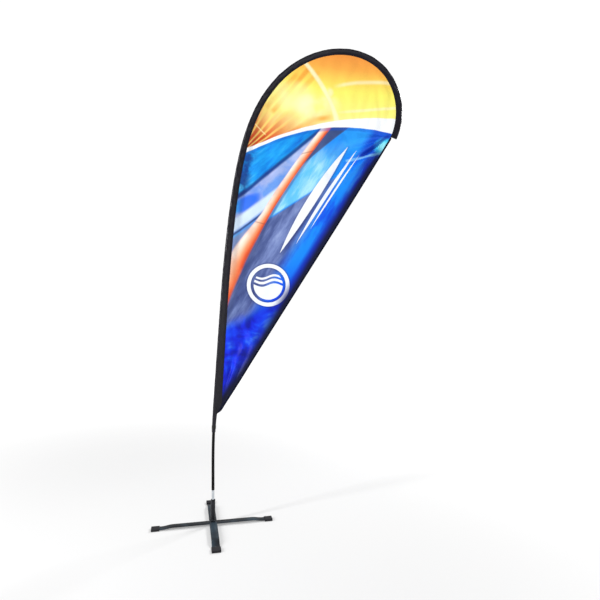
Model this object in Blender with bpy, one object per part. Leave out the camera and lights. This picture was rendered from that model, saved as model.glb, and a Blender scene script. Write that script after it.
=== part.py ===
"""Teardrop flag on a folding cross base with a ball-bearing spindle.

Metres, +Z up.  The origin is on the floor, under the spindle's axis.  The flag hangs in the XZ plane and
points to +X.  Every piece is one closed body, and pieces that touch keep the gap TOUCH between them.
"""
import bisect
import math

import bmesh
import bpy
from mathutils import Vector

# ---------------------------------------------------------------- driving dimensions
TOUCH = 0.0003                # gap between faces that touch
SLIDE = 0.0005                # running clearance on a radius

BAR_LENGTH = 0.80             # a base bar, end to end
BAR_WIDTH = 0.050
BAR_THICK = 0.005
BASE_YAW = 12.5               # turn of the base about Z, degrees
FOOT_SOLE = 0.005             # rubber under a bar's end
FOOT_WALL = 0.0035            # rubber beside and over a bar's end
FOOT_GRIP = 0.050             # length of bar inside its foot cap
FOOT_FLAT = 0.064             # level end of a bar
BAR_DROP = 0.070              # length over which a bar bends down to its end

HEAD_CLEAR = 0.006            # floor to the pivot bolt's head
HEAD_HEIGHT = 0.005
HEAD_ACROSS = 0.022           # across the flats of the bolt and the lock nut
BOLT_RADIUS = 0.006
WASHER_RADIUS = 0.014
HEAD_WASHER = 0.002
PIVOT_WASHER = 0.0015
SPRING_WASHER = 0.0025
LOCK_NUT = 0.006

HOUSING_LENGTH = 0.136
HOUSING_WALL = 0.003
HOUSING_WEB = 0.010           # thickness of the housing's threaded floor
HOUSING_SUMP = 0.021          # chamber under the lower bearing
LEDGE_WIDTH = 0.0022          # step under the lower bearing's outer ring
BEARING_WIDTH = 0.006
BEARING_SPAN = 0.078          # length of the spacers between the two bearings
BALL_COUNT = 8
CAGE_WALL = 0.0010
CIRCLIP = 0.0010              # thickness of both circlips
SHAFT_TAIL = 0.004            # shaft below its circlip
CIRCLIP_BITE = 0.0010         # how deep a circlip sits in its groove
SEAL_HEIGHT = 0.007

PIN_RADIUS = 0.0065
PIN_LENGTH = 0.150
COLLAR_STEP = 0.0025          # seat for the pole, from the pin's radius to the collar's
COLLAR_SHOW = 0.064           # bare collar between the housing and the pole
JOURNAL_STEP = 0.003          # shoulder on the upper bearing, from the collar's radius to the journal's
SEAL_WALL = 0.003             # room for the dust seal, from the collar's radius to the housing's bore

POLE_LENGTH = 4.18            # from the spindle's collar to the flag's tip, round the bend
POLE_STRAIGHT = 0.17          # upright stretch at the bottom, over the spindle's pin
# heading of the pole above the horizontal, in degrees, at shares of its bent length
POLE_BEND = ((0.0, 90.0), (0.1, 86.5), (0.3, 85.5), (0.5, 79.0), (0.6, 65.0),
             (0.7, 36.0), (0.8, -5.0), (0.9, -62.5), (1.0, -113.0))
JOINT_RADII = (0.0092, 0.0078, 0.0062, 0.0040)   # outside, at the upper end of each of the four sections
POLE_WALL = 0.0018
BUSH_WALL = 0.0009
SPIGOT_REACH = 0.060          # a joint spigot's length into each section
BUSH_LENGTH = 0.145
BUSH_FLANGE = 0.002
TIP_GAP = 0.010               # pole's end to the end of the sleeve
TIP_CAP_GRIP = 0.020
TIP_CAP_END = 0.003
TIP_CAP_WALL = 0.0009

CUFF_START = 0.390            # along the pole, from its bottom
SLEEVE_START = 0.512
SLEEVE_FLARE = 0.075          # length over which the sleeve widens from the cuff
CUFF_WIDTH = 0.0300           # width across the sleeve where the cuff ends
SLEEVE_WIDTH_LOW = 0.058      # above the flare
SLEEVE_WIDTH_TOP = 0.043      # at the flag's tip
SLEEVE_EASE = 0.0018          # pole to the inside of the sleeve
CLOTH_PLY = 0.0010            # wall of the sleeve and the cuff
SEAM_WIDTH = 0.008            # where the two walls of the sleeve are sewn together
SEAM_THICK = 0.0016
STRAP_START = 0.410
STRAP_WIDTH = 0.025
STRAP_THICK = 0.0012
PANEL_THICK = 0.0006
HEM_WIDTH = 0.013
HEM_THICK = 0.0014
TIP_PATCH = 0.0025            # thickness of the patch that closes the sleeve

SIDES = 24                    # sides of a turned or round piece
POLE_SIDES = 12               # sides of a pole section
ARC_SIDES = 9                 # sides of the sleeve's round part
FLARE_STEPS = 4
CUFF_STEPS = 4
PATH_STEPS = 1200
PATH_TURN = math.radians(5.0)
PATH_STRIDE = 0.30

# ---------------------------------------------------------------- places worked out from them
HEAD_TOP = HEAD_CLEAR + HEAD_HEIGHT
HEAD_WASHER_LOW = HEAD_TOP + TOUCH
LOWER_BAR_LOW = HEAD_WASHER_LOW + HEAD_WASHER + TOUCH
PIVOT_WASHER_LOW = LOWER_BAR_LOW + BAR_THICK + TOUCH
UPPER_BAR_LOW = PIVOT_WASHER_LOW + PIVOT_WASHER + TOUCH
SPRING_WASHER_LOW = UPPER_BAR_LOW + BAR_THICK + TOUCH
NUT_LOW = SPRING_WASHER_LOW + SPRING_WASHER + TOUCH
HOUSING_LOW = NUT_LOW + LOCK_NUT + TOUCH
HOUSING_TOP = HOUSING_LOW + HOUSING_LENGTH
LEDGE = HOUSING_LOW + HOUSING_WEB + HOUSING_SUMP
LOWER_BEARING_LOW = LEDGE + TOUCH
SPACER_LOW = LOWER_BEARING_LOW + BEARING_WIDTH + TOUCH
UPPER_BEARING_LOW = SPACER_LOW + BEARING_SPAN + TOUCH
UPPER_BEARING_TOP = UPPER_BEARING_LOW + BEARING_WIDTH
HOUSING_CLIP_LOW = UPPER_BEARING_TOP + TOUCH
SEAL_LOW = HOUSING_CLIP_LOW + CIRCLIP + TOUCH
COLLAR_LOW = UPPER_BEARING_TOP + TOUCH
COLLAR_TOP = HOUSING_TOP + COLLAR_SHOW
SHAFT_CLIP_LOW = LOWER_BEARING_LOW - TOUCH - CIRCLIP
SHAFT_LOW = SHAFT_CLIP_LOW - SHAFT_TAIL
POLE_LOW = COLLAR_TOP + TOUCH + BUSH_FLANGE + TOUCH

COLLAR_RADIUS = PIN_RADIUS + COLLAR_STEP
JOURNAL_RADIUS = COLLAR_RADIUS - JOURNAL_STEP
BORE_RADIUS = COLLAR_RADIUS + SEAL_WALL
SUMP_RADIUS = BORE_RADIUS - LEDGE_WIDTH
HOUSING_RADIUS = BORE_RADIUS + HOUSING_WALL
BUSH_BORE = (PIN_RADIUS + TOUCH) / math.cos(math.pi / POLE_SIDES)
POLE_RADII = (BUSH_BORE + BUSH_WALL + TOUCH + POLE_WALL, *JOINT_RADII)

# a ball bearing's proportions, from the space between the journal and the bore
INNER_RING_IN = JOURNAL_RADIUS + TOUCH
OUTER_RING_OUT = BORE_RADIUS - TOUCH
RING_SPACE = OUTER_RING_OUT - INNER_RING_IN
RING_WALL = 0.31 * RING_SPACE
BALL_RADIUS = 0.30 * RING_SPACE
INNER_RING_OUT = INNER_RING_IN + RING_WALL
OUTER_RING_IN = OUTER_RING_OUT - RING_WALL
PITCH_RADIUS = (INNER_RING_OUT + OUTER_RING_IN) / 2
GROOVE_DEPTH = BALL_RADIUS + 1.2 * TOUCH - (OUTER_RING_IN - PITCH_RADIUS)
GROOVE_HALF = BALL_RADIUS + TOUCH
CAGE_HEIGHT = BEARING_WIDTH * 0.65


# ---------------------------------------------------------------- materials and small helpers
def material(name, colour, roughness, metallic=0.0):
    """Return a Principled material with one colour."""
    made = bpy.data.materials.new(name)
    made.use_nodes = True
    shader = made.node_tree.nodes["Principled BSDF"]
    shader.inputs["Base Color"].default_value = (*colour, 1.0)
    shader.inputs["Roughness"].default_value = roughness
    shader.inputs["Metallic"].default_value = metallic
    return made


def finish_object(name, mesh_build, surface, parent, smooth_angle=35.0):
    """Turn a bmesh into a named object with its own material."""
    bmesh.ops.recalc_face_normals(mesh_build, faces=mesh_build.faces)
    mesh = bpy.data.meshes.new(name)
    mesh_build.to_mesh(mesh)
    mesh_build.free()
    mesh.shade_smooth()
    mesh.set_sharp_from_angle(angle=math.radians(smooth_angle))
    mesh.materials.append(surface)
    made = bpy.data.objects.new(name, mesh)
    bpy.context.scene.collection.objects.link(made)
    made.parent = parent
    return made


def axis_empty(name, parent=None):
    """Return an empty on the spindle's axis that moving pieces hang from."""
    made = bpy.data.objects.new(name, None)
    bpy.context.scene.collection.objects.link(made)
    made.parent = parent
    return made


def circle(radius, height, sides=SIDES):
    """Return the points of a level ring about the spindle's axis."""
    turns = [2 * math.pi * k / sides for k in range(sides)]
    return [Vector((radius * math.cos(t), radius * math.sin(t), height)) for t in turns]


def hexagon(across, height, sides=SIDES):
    """Return a level hexagon with as many points as a circle, so the two can be bridged."""
    points = []
    for k in range(sides):
        turn = 2 * math.pi * k / sides
        from_flat = (turn % (math.pi / 3)) - math.pi / 6
        radius = across / 2 / math.cos(from_flat)
        points.append(Vector((radius * math.cos(turn), radius * math.sin(turn), height)))
    return points


def loft(rings, closed):
    """Join rings of points by quads: as a closed tube of wall, or as a solid with two end faces."""
    built = bmesh.new()
    loops = [[built.verts.new(point) for point in ring] for ring in rings]
    pairs = list(zip(loops, loops[1:]))
    if closed:
        pairs.append((loops[-1], loops[0]))
    for low, high in pairs:
        for k in range(len(low)):
            after = (k + 1) % len(low)
            built.faces.new((low[k], low[after], high[after], high[k]))
    if not closed:
        built.faces.new(list(reversed(loops[0])))
        built.faces.new(loops[-1])
    return built


def turned(profile):
    """Spin a closed outline of (radius, height) points about the spindle's axis."""
    built = bmesh.new()
    verts = [built.verts.new((radius, 0.0, height)) for radius, height in profile]
    edges = [built.edges.new((verts[k - 1], verts[k])) for k in range(len(verts))]
    bmesh.ops.spin(built, geom=verts + edges, cent=(0, 0, 0), axis=(0, 0, 1), angle=2 * math.pi,
                   steps=SIDES, use_merge=True, use_duplicate=False)
    bmesh.ops.remove_doubles(built, verts=built.verts, dist=0.00001)
    return built


def turned_solid(profile):
    """Stack rings of (radius, height), each wider than zero, into a solid with two end faces."""
    return loft([circle(radius, height) for radius, height in profile], closed=False)


def ring_profile(inner, outer, low, high, chamfer=0.0002):
    """Return the outline of a plain ring with small chamfers on its outer edges."""
    return [(inner, low), (outer - chamfer, low), (outer, low + chamfer),
            (outer, high - chamfer), (outer - chamfer, high), (inner, high)]


# ---------------------------------------------------------------- the bent pole's line
def heading(share):
    """Return the pole's heading in radians at a share of its bent length, smooth through POLE_BEND."""
    shares = [point[0] for point in POLE_BEND]
    angles = [math.radians(point[1]) for point in POLE_BEND]
    last = len(shares) - 1
    k = min(max(bisect.bisect_right(shares, share) - 1, 0), last - 1)
    slopes = []
    for j in (k, k + 1):
        before = max(j - 1, 0)
        after = min(j + 1, last)
        slopes.append((angles[after] - angles[before]) / (shares[after] - shares[before]))
    span = shares[k + 1] - shares[k]
    t = (share - shares[k]) / span
    blend = t * t * (3 - 2 * t)
    ease_in = t * (1 - t) ** 2
    ease_out = t * t * (t - 1)
    return (angles[k] * (1 - blend) + angles[k + 1] * blend
            + span * (ease_in * slopes[0] + ease_out * slopes[1]))


class PoleLine:
    """The pole's centre line as straight strides, shared by everything that follows the pole."""

    def __init__(self):
        self.distances = [0.0]
        self.points = [Vector((0.0, 0.0, POLE_LOW))]
        self.inward = [Vector((1.0, 0.0, 0.0))]
        step = (POLE_LENGTH - POLE_STRAIGHT) / PATH_STEPS
        x, z = 0.0, POLE_LOW + POLE_STRAIGHT
        marked_turn = heading(0.0)
        marked_distance = 0.0
        for k in range(PATH_STEPS + 1):
            distance = POLE_STRAIGHT + k * step
            turn = heading(k / PATH_STEPS)
            due = abs(turn - marked_turn) >= PATH_TURN or distance - marked_distance >= PATH_STRIDE
            room = POLE_LENGTH - distance > PATH_STRIDE / 20
            if k in (0, PATH_STEPS) or (due and room):
                self.distances.append(distance)
                self.points.append(Vector((x, 0.0, z)))
                self.inward.append(Vector((math.sin(turn), 0.0, -math.cos(turn))))
                marked_turn = turn
                marked_distance = distance
            middle = heading((k + 0.5) / PATH_STEPS)
            x += step * math.cos(middle)
            z += step * math.sin(middle)

    def at(self, distance):
        """Return the centre and the inward direction at a distance along the pole."""
        last = len(self.distances) - 1
        k = min(max(bisect.bisect_right(self.distances, distance) - 1, 0), last - 1)
        span = self.distances[k + 1] - self.distances[k]
        t = (distance - self.distances[k]) / span
        centre = self.points[k].lerp(self.points[k + 1], t)
        return centre, self.inward[k].lerp(self.inward[k + 1], t).normalized()

    def between(self, start, end):
        """Return start, every shared station that lies between, and end."""
        margin = 0.002
        inside = [d for d in self.distances if start + margin < d < end - margin]
        return [start, *inside, end]


LINE = PoleLine()
SECTION_COUNT = len(POLE_RADII) - 1
POLE_END = POLE_LENGTH - TIP_GAP


def pole_radius(distance):
    """Return the tapering pole's outer radius at a distance along it."""
    place = min(max(distance / POLE_END, 0.0), 1.0) * SECTION_COUNT
    k = min(int(place), SECTION_COUNT - 1)
    return POLE_RADII[k] + (POLE_RADII[k + 1] - POLE_RADII[k]) * (place - k)


def pole_bore(distance):
    """Return the pole's inner radius at a distance along it."""
    return pole_radius(distance) - POLE_WALL


def round_ring(distance, radius, sides=POLE_SIDES):
    """Return a ring of points square to the pole."""
    centre, inward = LINE.at(distance)
    points = []
    for k in range(sides):
        turn = 2 * math.pi * k / sides
        points.append(centre + inward * (radius * math.cos(turn)) + Vector((0, radius * math.sin(turn), 0)))
    return points


def pocket_ring(distance, radius, reach, half_seam):
    """Return a drop-shaped ring: round about the pole, drawn in to a seam at reach from its centre."""
    centre, inward = LINE.at(distance)
    reach = max(reach, radius + TOUCH)
    leave = math.acos(radius / reach)
    points = []
    for k in range(ARC_SIDES + 1):
        turn = leave + (2 * math.pi - 2 * leave) * k / ARC_SIDES
        points.append((radius * math.cos(turn), radius * math.sin(turn)))
    points += [(reach, -half_seam), (reach, half_seam)]
    return [centre + inward * a + Vector((0, b, 0)) for a, b in points]


# ---------------------------------------------------------------- base
def bar_height(distance, run_low):
    """Return the height of a bar's underside at a distance from its centre."""
    start = BAR_LENGTH / 2 - FOOT_FLAT - BAR_DROP
    t = min(max((distance - start) / BAR_DROP, 0.0), 1.0)
    blend = t * t * (3 - 2 * t)
    return run_low + (FOOT_SOLE + TOUCH - run_low) * blend


def base_bar(name, run_low, turn, parent):
    """Build a flat bar whose ends bend down to the floor, with its pivot hole."""
    half = BAR_LENGTH / 2
    bend_start = half - FOOT_FLAT - BAR_DROP
    bend_steps = 6
    distances = [BOLT_RADIUS * 4] + [bend_start + BAR_DROP * k / bend_steps for k in range(bend_steps + 1)]
    distances.append(half)
    places = [-d for d in reversed(distances)] + distances
    underside = [(x, bar_height(abs(x), run_low)) for x in places]
    top = [(x, z + BAR_THICK) for x, z in reversed(underside)]
    built = bmesh.new()
    side = [built.verts.new((x, -BAR_WIDTH / 2, z)) for x, z in underside + top]
    face = built.faces.new(side)
    pushed = bmesh.ops.extrude_face_region(built, geom=[face])
    moved = [v for v in pushed["geom"] if isinstance(v, bmesh.types.BMVert)]
    bmesh.ops.translate(built, verts=moved, vec=(0, BAR_WIDTH, 0))
    bar = finish_object(name, built, material(name, (0.055, 0.075, 0.095), 0.42, 0.6), parent)
    hole = finish_object(name + "_hole", turned_solid([(BOLT_RADIUS + SLIDE, run_low - BAR_THICK),
                                                       (BOLT_RADIUS + SLIDE, run_low + 2 * BAR_THICK)]),
                         material(name + "_hole", (0.5, 0.5, 0.5), 0.5), bar)
    hole.hide_render = True
    hole.display_type = "WIRE"
    cut = bar.modifiers.new("pivot_hole", "BOOLEAN")
    cut.operation = "DIFFERENCE"
    cut.solver = "EXACT"
    cut.object = hole
    bar.rotation_euler.z = math.radians(turn)
    return bar


def foot_cap(name, turn, parent):
    """Build a rubber cap over a bar's end: a block with rounded ends and a slot for the bar."""
    half_wide = BAR_WIDTH / 2 + TOUCH + FOOT_WALL
    tall = FOOT_SOLE + BAR_THICK + 2 * TOUCH + FOOT_WALL
    inner_end = BAR_LENGTH / 2 - FOOT_GRIP
    outer_end = BAR_LENGTH / 2 + TOUCH + FOOT_WALL
    built = bmesh.new()
    bmesh.ops.create_cube(built, size=1.0)
    bmesh.ops.scale(built, verts=built.verts, vec=(outer_end - inner_end, 2 * half_wide, tall))
    bmesh.ops.translate(built, verts=built.verts, vec=((inner_end + outer_end) / 2, 0, tall / 2))
    upright = [e for e in built.edges
               if abs(e.verts[0].co.z - e.verts[1].co.z) > tall / 2 and e.verts[0].co.x > inner_end + tall / 2]
    bmesh.ops.bevel(built, geom=upright, offset=FOOT_WALL * 0.8, segments=3, affect="EDGES", profile=0.5)
    rim = [e for e in built.edges if min(e.verts[0].co.z, e.verts[1].co.z) > tall - 0.0001]
    bmesh.ops.bevel(built, geom=rim, offset=FOOT_WALL * 0.4, segments=2, affect="EDGES", profile=0.5)
    cap = finish_object(name, built, material(name, (0.012, 0.012, 0.014), 0.8), parent)
    slot_build = bmesh.new()
    bmesh.ops.create_cube(slot_build, size=1.0)
    slot_length = 2 * FOOT_GRIP
    bmesh.ops.scale(slot_build, verts=slot_build.verts,
                    vec=(slot_length, BAR_WIDTH + 2 * TOUCH, BAR_THICK + 2 * TOUCH))
    bmesh.ops.translate(slot_build, verts=slot_build.verts,
                        vec=(BAR_LENGTH / 2 + TOUCH - slot_length / 2, 0, FOOT_SOLE + TOUCH + BAR_THICK / 2))
    slot = finish_object(name + "_slot", slot_build, material(name + "_slot", (0.5, 0.5, 0.5), 0.5), cap)
    slot.hide_render = True
    slot.display_type = "WIRE"
    cut = cap.modifiers.new("bar_slot", "BOOLEAN")
    cut.operation = "DIFFERENCE"
    cut.solver = "EXACT"
    cut.object = slot
    cap.rotation_euler.z = math.radians(turn)
    return cap


def pivot_fasteners(parent):
    """Build the bolt, washers and lock nut that hold the two bars on the spindle's axis."""
    steel = (0.30, 0.31, 0.33)
    hole = BOLT_RADIUS + TOUCH
    bolt_top = HOUSING_LOW + HOUSING_WEB - TOUCH
    bolt = loft([hexagon(HEAD_ACROSS, HEAD_CLEAR), hexagon(HEAD_ACROSS, HEAD_TOP),
                 circle(BOLT_RADIUS, HEAD_TOP), circle(BOLT_RADIUS, bolt_top)], closed=False)
    finish_object("pivot_bolt", bolt, material("pivot_bolt", steel, 0.35, 1.0), parent)
    washers = (("head_washer", HEAD_WASHER_LOW, HEAD_WASHER, steel, 1.0),
               ("pivot_washer", PIVOT_WASHER_LOW, PIVOT_WASHER, (0.75, 0.74, 0.70), 0.0),
               ("spring_washer", SPRING_WASHER_LOW, SPRING_WASHER, steel, 1.0))
    for name, low, thick, colour, metallic in washers:
        ring = turned(ring_profile(hole, WASHER_RADIUS, low, low + thick))
        finish_object(name, ring, material(name, colour, 0.4, metallic), parent)
    nut_top = NUT_LOW + LOCK_NUT
    nut = loft([hexagon(HEAD_ACROSS, NUT_LOW), hexagon(HEAD_ACROSS, nut_top),
                circle(hole, nut_top), circle(hole, NUT_LOW)], closed=True)
    finish_object("lock_nut", nut, material("lock_nut", steel, 0.35, 1.0), parent)


# ---------------------------------------------------------------- spindle
def spindle_housing(parent):
    """Build the dark tube that carries the bearings, with its ledge, clip groove and bolt hole."""
    groove = BORE_RADIUS + CIRCLIP_BITE
    hole = BOLT_RADIUS + TOUCH
    chamfer = HOUSING_WALL / 3
    profile = [(hole, HOUSING_LOW), (HOUSING_RADIUS - chamfer, HOUSING_LOW),
               (HOUSING_RADIUS, HOUSING_LOW + chamfer), (HOUSING_RADIUS, HOUSING_TOP - chamfer),
               (HOUSING_RADIUS - chamfer, HOUSING_TOP), (BORE_RADIUS, HOUSING_TOP),
               (BORE_RADIUS, HOUSING_CLIP_LOW + CIRCLIP + TOUCH), (groove, HOUSING_CLIP_LOW + CIRCLIP + TOUCH),
               (groove, HOUSING_CLIP_LOW - TOUCH), (BORE_RADIUS, HOUSING_CLIP_LOW - TOUCH),
               (BORE_RADIUS, LEDGE), (SUMP_RADIUS, LEDGE),
               (SUMP_RADIUS, HOUSING_LOW + HOUSING_WEB), (hole, HOUSING_LOW + HOUSING_WEB)]
    finish_object("spindle_housing", turned(profile),
                  material("spindle_housing", (0.03, 0.033, 0.04), 0.45, 0.7), parent)


def bearing(level, low, fixed, rotor, cage_parent):
    """Build one ball bearing: outer ring, inner ring, and the balls in their cage."""
    middle = low + BEARING_WIDTH / 2
    high = low + BEARING_WIDTH
    outer = [(OUTER_RING_OUT, low), (OUTER_RING_OUT, high), (OUTER_RING_IN, high),
             (OUTER_RING_IN, middle + GROOVE_HALF), (OUTER_RING_IN + GROOVE_DEPTH, middle + GROOVE_HALF / 2),
             (OUTER_RING_IN + GROOVE_DEPTH, middle - GROOVE_HALF / 2), (OUTER_RING_IN, middle - GROOVE_HALF),
             (OUTER_RING_IN, low)]
    inner = [(INNER_RING_IN, low), (INNER_RING_OUT, low), (INNER_RING_OUT, middle - GROOVE_HALF),
             (INNER_RING_OUT - GROOVE_DEPTH, middle - GROOVE_HALF / 2),
             (INNER_RING_OUT - GROOVE_DEPTH, middle + GROOVE_HALF / 2),
             (INNER_RING_OUT, middle + GROOVE_HALF), (INNER_RING_OUT, high), (INNER_RING_IN, high)]
    steel = (0.55, 0.56, 0.58)
    name = level + "_bearing_outer_ring"
    finish_object(name, turned(outer), material(name, steel, 0.2, 1.0), fixed)
    name = level + "_bearing_inner_ring"
    finish_object(name, turned(inner), material(name, steel, 0.2, 1.0), rotor)
    name = level + "_ball_cage"
    cage_build = turned([(PITCH_RADIUS - CAGE_WALL / 2, middle - CAGE_HEIGHT / 2),
                         (PITCH_RADIUS + CAGE_WALL / 2, middle - CAGE_HEIGHT / 2),
                         (PITCH_RADIUS + CAGE_WALL / 2, middle + CAGE_HEIGHT / 2),
                         (PITCH_RADIUS - CAGE_WALL / 2, middle + CAGE_HEIGHT / 2)])
    cage = finish_object(name, cage_build, material(name, (0.6, 0.5, 0.25), 0.35, 1.0), cage_parent)
    balls = bmesh.new()
    for k in range(BALL_COUNT):
        turn = 2 * math.pi * (k + 0.25) / BALL_COUNT
        made = bmesh.ops.create_uvsphere(balls, u_segments=8, v_segments=6, radius=BALL_RADIUS)
        centre = Vector((PITCH_RADIUS * math.cos(turn), PITCH_RADIUS * math.sin(turn), middle))
        bmesh.ops.translate(balls, verts=made["verts"], vec=centre)
    ball_set = finish_object(name + "_balls", balls, material(name + "_balls", steel, 0.1, 1.0), cage)
    ball_set.hide_render = True
    ball_set.display_type = "WIRE"
    union = cage.modifiers.new("balls", "BOOLEAN")
    union.operation = "UNION"
    union.solver = "EXACT"
    union.object = ball_set


def bearing_stack(fixed, rotor, cage_parent):
    """Build both bearings, the spacers between them, the two circlips and the dust seal."""
    bearing("lower", LOWER_BEARING_LOW, fixed, rotor, cage_parent)
    bearing("upper", UPPER_BEARING_LOW, fixed, rotor, cage_parent)
    spacer_high = SPACER_LOW + BEARING_SPAN
    spacer_wall = RING_WALL / 2
    outer_spacer = turned(ring_profile(OUTER_RING_OUT - spacer_wall, OUTER_RING_OUT, SPACER_LOW, spacer_high))
    finish_object("outer_spacer_tube", outer_spacer,
                  material("outer_spacer_tube", (0.6, 0.61, 0.62), 0.35, 1.0), fixed)
    inner_spacer = turned(ring_profile(INNER_RING_IN, INNER_RING_IN + spacer_wall, SPACER_LOW, spacer_high))
    finish_object("inner_spacer_tube", inner_spacer,
                  material("inner_spacer_tube", (0.6, 0.61, 0.62), 0.35, 1.0), rotor)
    clip_outer = BORE_RADIUS + CIRCLIP_BITE - TOUCH
    housing_clip = turned(ring_profile(COLLAR_RADIUS + SLIDE, clip_outer, HOUSING_CLIP_LOW,
                                       HOUSING_CLIP_LOW + CIRCLIP))
    finish_object("housing_circlip", housing_clip, material("housing_circlip", (0.2, 0.2, 0.22), 0.4, 1.0), fixed)
    clip_inner = JOURNAL_RADIUS - CIRCLIP_BITE + TOUCH
    shaft_clip = turned(ring_profile(clip_inner, INNER_RING_OUT, SHAFT_CLIP_LOW, SHAFT_CLIP_LOW + CIRCLIP))
    finish_object("shaft_circlip", shaft_clip, material("shaft_circlip", (0.2, 0.2, 0.22), 0.4, 1.0), rotor)
    seal = turned(ring_profile(COLLAR_RADIUS + SLIDE, BORE_RADIUS - TOUCH, SEAL_LOW + TOUCH,
                               SEAL_LOW + SEAL_HEIGHT))
    finish_object("dust_seal", seal, material("dust_seal", (0.02, 0.02, 0.02), 0.7), fixed)


def spindle_shaft(rotor):
    """Build the chromed shaft: journal with clip groove, collar, and the pin inside the pole."""
    groove = JOURNAL_RADIUS - CIRCLIP_BITE
    pin_top = COLLAR_TOP + PIN_LENGTH
    chamfer = 0.001
    profile = [(JOURNAL_RADIUS - chamfer, SHAFT_LOW), (JOURNAL_RADIUS, SHAFT_LOW + chamfer),
               (JOURNAL_RADIUS, SHAFT_CLIP_LOW - TOUCH), (groove, SHAFT_CLIP_LOW - TOUCH),
               (groove, SHAFT_CLIP_LOW + CIRCLIP + TOUCH / 2),
               (JOURNAL_RADIUS, SHAFT_CLIP_LOW + CIRCLIP + TOUCH / 2),
               (JOURNAL_RADIUS, COLLAR_LOW), (COLLAR_RADIUS, COLLAR_LOW), (COLLAR_RADIUS, COLLAR_TOP - chamfer),
               (COLLAR_RADIUS - chamfer, COLLAR_TOP), (PIN_RADIUS, COLLAR_TOP), (PIN_RADIUS, pin_top - chamfer),
               (PIN_RADIUS - chamfer, pin_top)]
    finish_object("spindle_shaft", turned_solid(profile),
                  material("spindle_shaft", (0.85, 0.86, 0.88), 0.08, 1.0), rotor)


# ---------------------------------------------------------------- pole
def pole_sections(parent):
    """Build the four tapering tubes and the spigots that join them end to end."""
    share = POLE_END / SECTION_COUNT
    for k in range(SECTION_COUNT):
        start = share * k + (TOUCH / 2 if k else 0.0)
        end = share * (k + 1) - (TOUCH / 2 if k < SECTION_COUNT - 1 else 0.0)
        stations = LINE.between(start, end)
        outer = [round_ring(d, pole_radius(d)) for d in stations]
        inner = [round_ring(d, pole_bore(d)) for d in reversed(stations)]
        name = f"pole_section_{k + 1}"
        finish_object(name, loft(outer + inner, closed=True), material(name, (0.012, 0.012, 0.014), 0.3), parent)
    for k in range(1, SECTION_COUNT):
        stations = LINE.between(share * k - SPIGOT_REACH, share * k + SPIGOT_REACH)
        rod = [round_ring(d, pole_bore(d) - TOUCH) for d in stations]
        name = f"joint_spigot_{k}"
        finish_object(name, loft(rod, closed=False), material(name, (0.6, 0.6, 0.58), 0.4), parent)


def pole_bush(parent):
    """Build the plastic bush that lines the pole's foot and turns its weight onto the collar."""
    flange_low = COLLAR_TOP + TOUCH
    flange_top = flange_low + BUSH_FLANGE
    tube_top = POLE_LOW + BUSH_LENGTH
    outline = [(BUSH_BORE, flange_low), (pole_radius(0.0), flange_low), (pole_radius(0.0), flange_top),
               (pole_bore(0.0) - TOUCH, flange_top), (pole_bore(BUSH_LENGTH) - TOUCH, tube_top),
               (BUSH_BORE, tube_top)]
    rings = [circle(radius, height, POLE_SIDES) for radius, height in outline]
    finish_object("pole_bush", loft(rings, closed=True), material("pole_bush", (0.04, 0.04, 0.045), 0.5), parent)


def tip_cap(parent):
    """Build the rubber cap over the pole's tip, so the pole can't cut through the sleeve."""
    start = POLE_END - TIP_CAP_GRIP
    inner_end = POLE_END + TOUCH
    outer_end = inner_end + TIP_CAP_END
    inner = [round_ring(d, pole_radius(d) + TOUCH) for d in reversed(LINE.between(start, inner_end))]
    outer = [round_ring(d, pole_radius(d) + TOUCH + TIP_CAP_WALL) for d in LINE.between(start, outer_end)]
    finish_object("tip_cap", loft(inner + outer, closed=False), material("tip_cap", (0.02, 0.02, 0.02), 0.7), parent)


# ---------------------------------------------------------------- flag
def sleeve_radius(distance):
    """Return the outer radius of the sleeve's or the cuff's round part."""
    return pole_radius(distance) + SLEEVE_EASE + CLOTH_PLY


def sleeve_reach(distance):
    """Return how far the sleeve's seam lies from the pole's centre."""
    if distance <= SLEEVE_START + SLEEVE_FLARE:
        t = (distance - SLEEVE_START) / SLEEVE_FLARE
        width = CUFF_WIDTH + (SLEEVE_WIDTH_LOW - CUFF_WIDTH) * t
    else:
        t = (distance - SLEEVE_START - SLEEVE_FLARE) / (POLE_LENGTH - SLEEVE_START - SLEEVE_FLARE)
        width = SLEEVE_WIDTH_LOW + (SLEEVE_WIDTH_TOP - SLEEVE_WIDTH_LOW) * min(2.2 * t, 1.0)
    return max(width - sleeve_radius(distance), sleeve_radius(distance) + TOUCH)


def cuff_reach(distance):
    """Return the cuff's seam distance: round at its bottom, as wide as the sleeve at its top."""
    t = (distance - CUFF_START) / (SLEEVE_START - CUFF_START)
    narrow = sleeve_radius(CUFF_START) + TOUCH
    return narrow + (sleeve_reach(SLEEVE_START) - narrow) * min(max(t, 0.0), 1.0) ** 2


def pocket(stations, reach):
    """Return the closed wall of a pocket that follows the pole through stations."""
    outer = [pocket_ring(d, sleeve_radius(d), reach(d), SEAM_THICK / 2) for d in stations]
    inner = []
    for d in reversed(stations):
        radius = sleeve_radius(d) - CLOTH_PLY
        inner.append(pocket_ring(d, radius, reach(d) - SEAM_WIDTH, TOUCH))
    return loft(outer + inner, closed=True)


def sleeve_stations():
    """Return the stations of the sleeve, close together along its flare."""
    flare_end = SLEEVE_START + SLEEVE_FLARE
    flare = [SLEEVE_START + SLEEVE_FLARE * k / FLARE_STEPS for k in range(FLARE_STEPS)]
    return flare + LINE.between(flare_end, POLE_LENGTH)


def pole_sleeve(parent):
    """Build the black sleeve that holds the pole all round the flag's curved edge."""
    finish_object("pole_sleeve", pocket(sleeve_stations(), sleeve_reach),
                  material("pole_sleeve", (0.014, 0.013, 0.02), 0.75), parent)


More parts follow.
